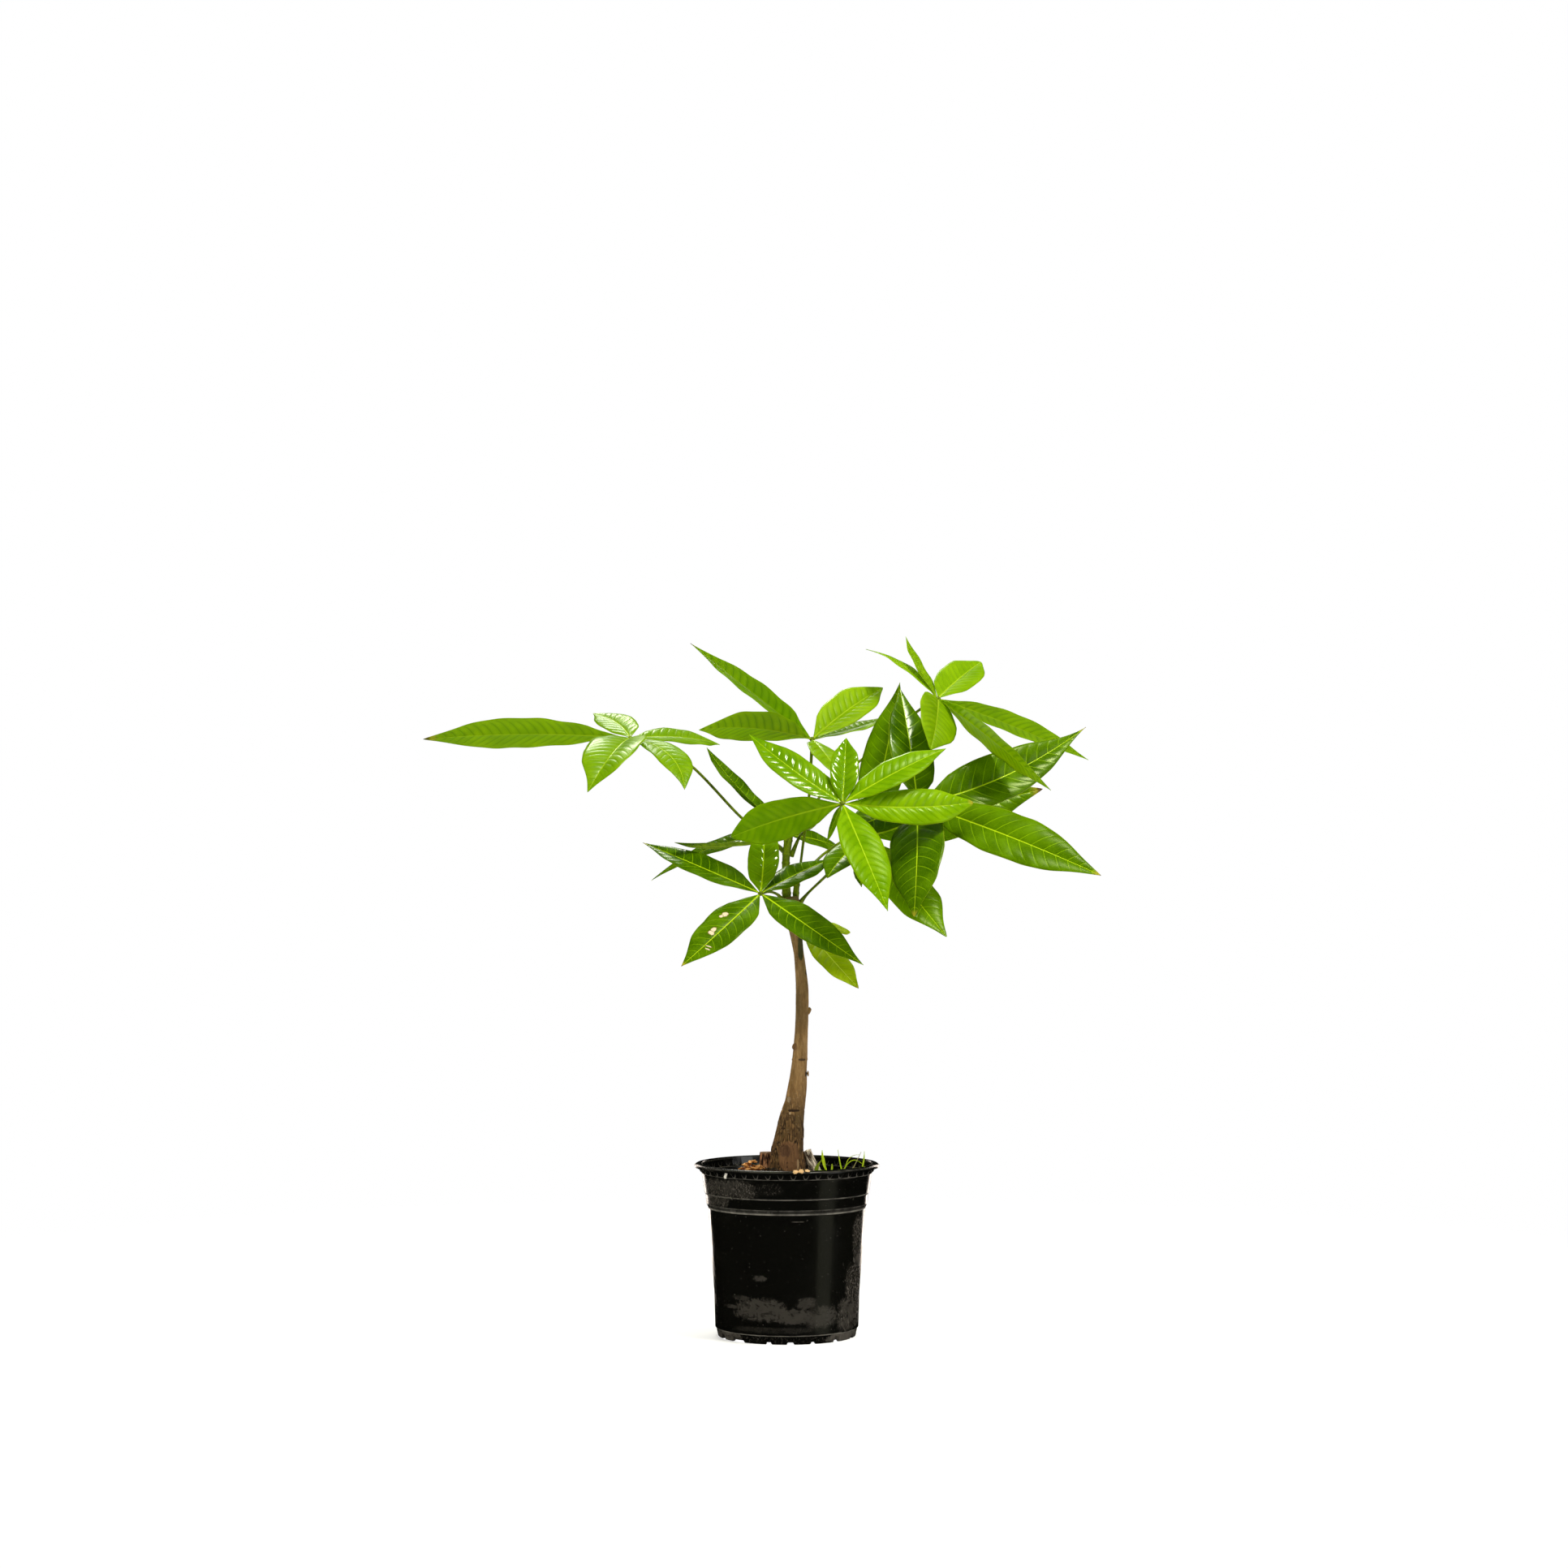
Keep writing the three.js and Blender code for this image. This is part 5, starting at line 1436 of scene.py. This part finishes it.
chip_skins = [
    lump(centre, size, (8, -6, turn), 0.9, n, marks=dict(tone=tone), sides=28, rings=15)
    for n, (centre, size, turn, tone) in enumerate(CHIPS)
]
pile = np.random.default_rng(31)
for n in range(PILE_FLAKES):
    out = pile.uniform(0, 1) ** 0.6
    turn = pile.uniform(0, 2 * math.pi)
    x = PILE_MIDDLE[0] + PILE_SIZE[0] * out * math.cos(turn)
    y = PILE_MIDDLE[1] + PILE_SIZE[1] * out * math.sin(turn)
    z = PILE_MIDDLE[2] + pile.uniform(0.2, 1.0) * PILE_SIZE[2] * (1 - out**2)
    size = (pile.uniform(0.0022, 0.0052), pile.uniform(0.0018, 0.0036), pile.uniform(0.0006, 0.0014))
    tilt = (pile.uniform(-35, 35), pile.uniform(-35, 35), pile.uniform(0, 360))
    marks = dict(tone=pile.uniform(0, 1))
    chip_skins.append(lump((x, y, z), size, tilt, 0.9, n, marks=marks, sides=14, rings=7))
piece("leaf_litter", chip_skins, [CHIP], ["litter"])


def in_litter(x, y):
    """True for places inside the heap of litter."""
    return (x < -0.020) & (x > -0.058) & (np.abs(y + 0.002) < 0.017)


crumbs = scatter(900, seed=21, ring=(0.020, 0.062), size=(0.0006, 0.0017), flatness=0.6, lift=0.0036,
                 keep=in_litter)
piece("litter_crumbs", [crumbs], [CRUMB])


def weed(foot, tip, bow, wide, lean, widest=0.5, tone=1.0):
    """One weed blade from its foot to its tip."""
    shape = dict(tip=tip, bow=bow, wide=wide, lean=lean, fold=12, widest=widest, slim=1.3, neck=0.6,
                 tone=tone)
    return blade(foot, shape, pitch=0.01, seed=0, start=0.0, thick=0.0003, rib=0.25)


WEEDS = {
    "weed_broad": [
        weed((0.049, 0.012, 0.175), (0.040, 0.014, 0.206), (-0.002, 0, -0.001), 0.0036, 90, 0.6),
        weed((0.048, 0.012, 0.178), (0.051, 0.008, 0.191), (0.001, 0, 0), 0.0036, 90, 0.6),
    ],
    "weed_dark": [
        weed((0.040, -0.012, 0.176), (0.039, -0.010, 0.197), (-0.006, -0.002, -0.002), 0.006, 60, tone=0.4),
    ],
    "weed_yellow": [
        weed((0.046, -0.022, 0.174), (0.036, -0.026, 0.187), (0, 0, 0.003), 0.005, 30, tone=1.2),
    ],
    "weed_sprout": [
        weed((0.066, 0.016, 0.171), (0.058, 0.018, 0.206), (-0.001, 0, 0), 0.0017, 90, 0.4),
        weed((0.064, 0.016, 0.182), (0.086, 0.012, 0.190), (-0.001, 0, 0.008), 0.0019, 40, 0.4),
        weed((0.065, 0.016, 0.176), (0.083, 0.020, 0.200), (-0.004, 0, 0.007), 0.0017, 40, 0.4, 1.15),
    ],
    "weed_rim": [weed((0.081, 0.020, 0.170), (0.088, 0.022, 0.204), (0.002, 0, 0.002), 0.0020, 90)],
    "straw": [weed((0.068, 0.004, 0.172), (0.084, 0.002, 0.205), (0, 0, 0), 0.0013, 60, tone=1.6)],
}
for name, blades in WEEDS.items():
    slot = "dry_straw" if name == "straw" else "grass"
    piece(name + "_blades", blades, [GRASS, GRASS], [name])

for n, (name, (centre, size, turn, tone)) in enumerate(FLAKES.items()):
    flake = lump(centre, size, (FLAKE_TILT, 0, turn), 1.3, n + 5, marks=dict(tone=tone))
    piece("tan_" + name, [flake], [FLAKE], [name])
turn = math.radians(FLECK_TURN)
fleck_at = (FLECK_RADIUS * math.sin(turn), -FLECK_RADIUS * math.cos(turn), FLECK_HEIGHT)
fleck = lump(fleck_at, (0.0025, 0.0011, 0.0035), (0, 24, FLECK_TURN), 1.2, 9, marks=dict(tone=0.5))
piece("pale_fleck", [fleck], [FLECK])

# The crown

for number, (name, leaf) in enumerate(LEAVES.items()):
    finishes = [*SKINS[leaf["skin"]], STEM, *SKINS["torn"]]
    piece(name.replace("leaf", "palm"), leaf_skins(leaf, number), finishes, [name])

# Studio


def studio_floor():
    """A wide level disc under the pot."""
    sides = 96
    angle = np.linspace(0, 2 * np.pi, sides, endpoint=False)[None, :]
    radius = np.array([[0.01], [40.0]])
    top = np.stack([radius * np.cos(angle), radius * np.sin(angle), 0 * radius * angle], -1)
    mesh = bpy.data.meshes.new("studio_floor")
    faces = [tuple(range(sides - 1, -1, -1)), *ring_faces(2, sides)[:, ::-1].tolist()]
    mesh.from_pydata(top.reshape(-1, 3).tolist(), [], faces)
    mesh.materials.append(floor_finish())
    made = bpy.data.objects.new("studio_floor", mesh)
    bpy.context.scene.collection.objects.link(made)
    made.visible_glossy = False


def look_along(direction):
    """Turn that points an object's -Z along a direction with its Y axis up."""
    x, y, z = unit(direction)
    return (math.acos(-z), 0.0, math.atan2(y, x) - math.pi / 2)


def softbox(name, place, aim, size, power, mirrored=True, tint=(1.0, 1.0, 1.0)):
    """A rectangular soft light at a place, aimed at a height on the stem's axis; one that isn't mirrored
    leaves no highlights."""
    lamp = bpy.data.lights.new(name, "AREA")
    lamp.shape = "RECTANGLE"
    lamp.size, lamp.size_y = size
    lamp.energy = power
    lamp.color = tint
    made = bpy.data.objects.new(name, lamp)
    bpy.context.scene.collection.objects.link(made)
    made.location = place
    made.rotation_euler = look_along(aim * UP - np.array(place))
    made.visible_glossy = mirrored
    made.visible_camera = False


def studio_sky():
    """Pale surroundings: brighter behind and above, absent from reflections; the camera sees plain white."""
    world = bpy.data.worlds.new("studio")
    bpy.context.scene.world = world
    world.use_nodes = True
    tree = world.node_tree
    tree.nodes.clear()
    _, back, up = parts(put("TexCoord", {}, "Generated", tree))
    behind = ease(back + up * 0.8, -0.5, 0.6, 0.16, 0.55)
    seen = put("LightPath", {}, "Is Camera Ray", tree)
    light = put("Background", {"Color": blend(seen, grey(behind), rgb(1, 1, 1)), "Strength": 1.0})
    feed(tree.nodes.new("ShaderNodeOutputWorld"), {0: light})
    world.cycles_visibility.glossy = False


studio_floor()
studio_sky()
softbox("top", (0.75, -0.75, 2.5), aim=0.5, size=(0.5, 0.5), power=43, tint=SUNNY)
softbox("front", (-1.7, -2.1, 1.9), aim=0.45, size=(1.3, 1.3), power=43, mirrored=False, tint=SUNNY)
softbox("side", (2.35, -1.385, 0.9), aim=0.4, size=(1.2, 1.8), power=17)
softbox("low side", (2.25, -1.33, -0.55), aim=0.1, size=(1.15, 1.3), power=1.5, tint=YELLOWISH)
softbox("back", (-0.45, 2.3, 2.75), aim=0.65, size=(0.9, 0.7), power=38, tint=SUNNY)
softbox("glow", (0.7, 2.4, 1.7), aim=0.65, size=(2.0, 1.4), power=30, mirrored=False, tint=SUNNY)
softbox("left edge", (-0.80, 2.1, 0.35), aim=0.2, size=(0.4, 1.2), power=9, tint=WARM)
softbox("right edge", (0.80, 2.1, 0.35), aim=0.2, size=(0.4, 1.2), power=9, tint=WARM)

lens = bpy.data.cameras.new("camera")
lens.sensor_width = 36
lens.lens = LENS
camera = bpy.data.objects.new("camera", lens)
bpy.context.scene.collection.objects.link(camera)
camera.location = EYE
camera.rotation_euler = look_along(np.array(AIM) - np.array(EYE))
bpy.context.scene.camera = camera
bpy.context.scene.view_settings.view_transform = "Standard"
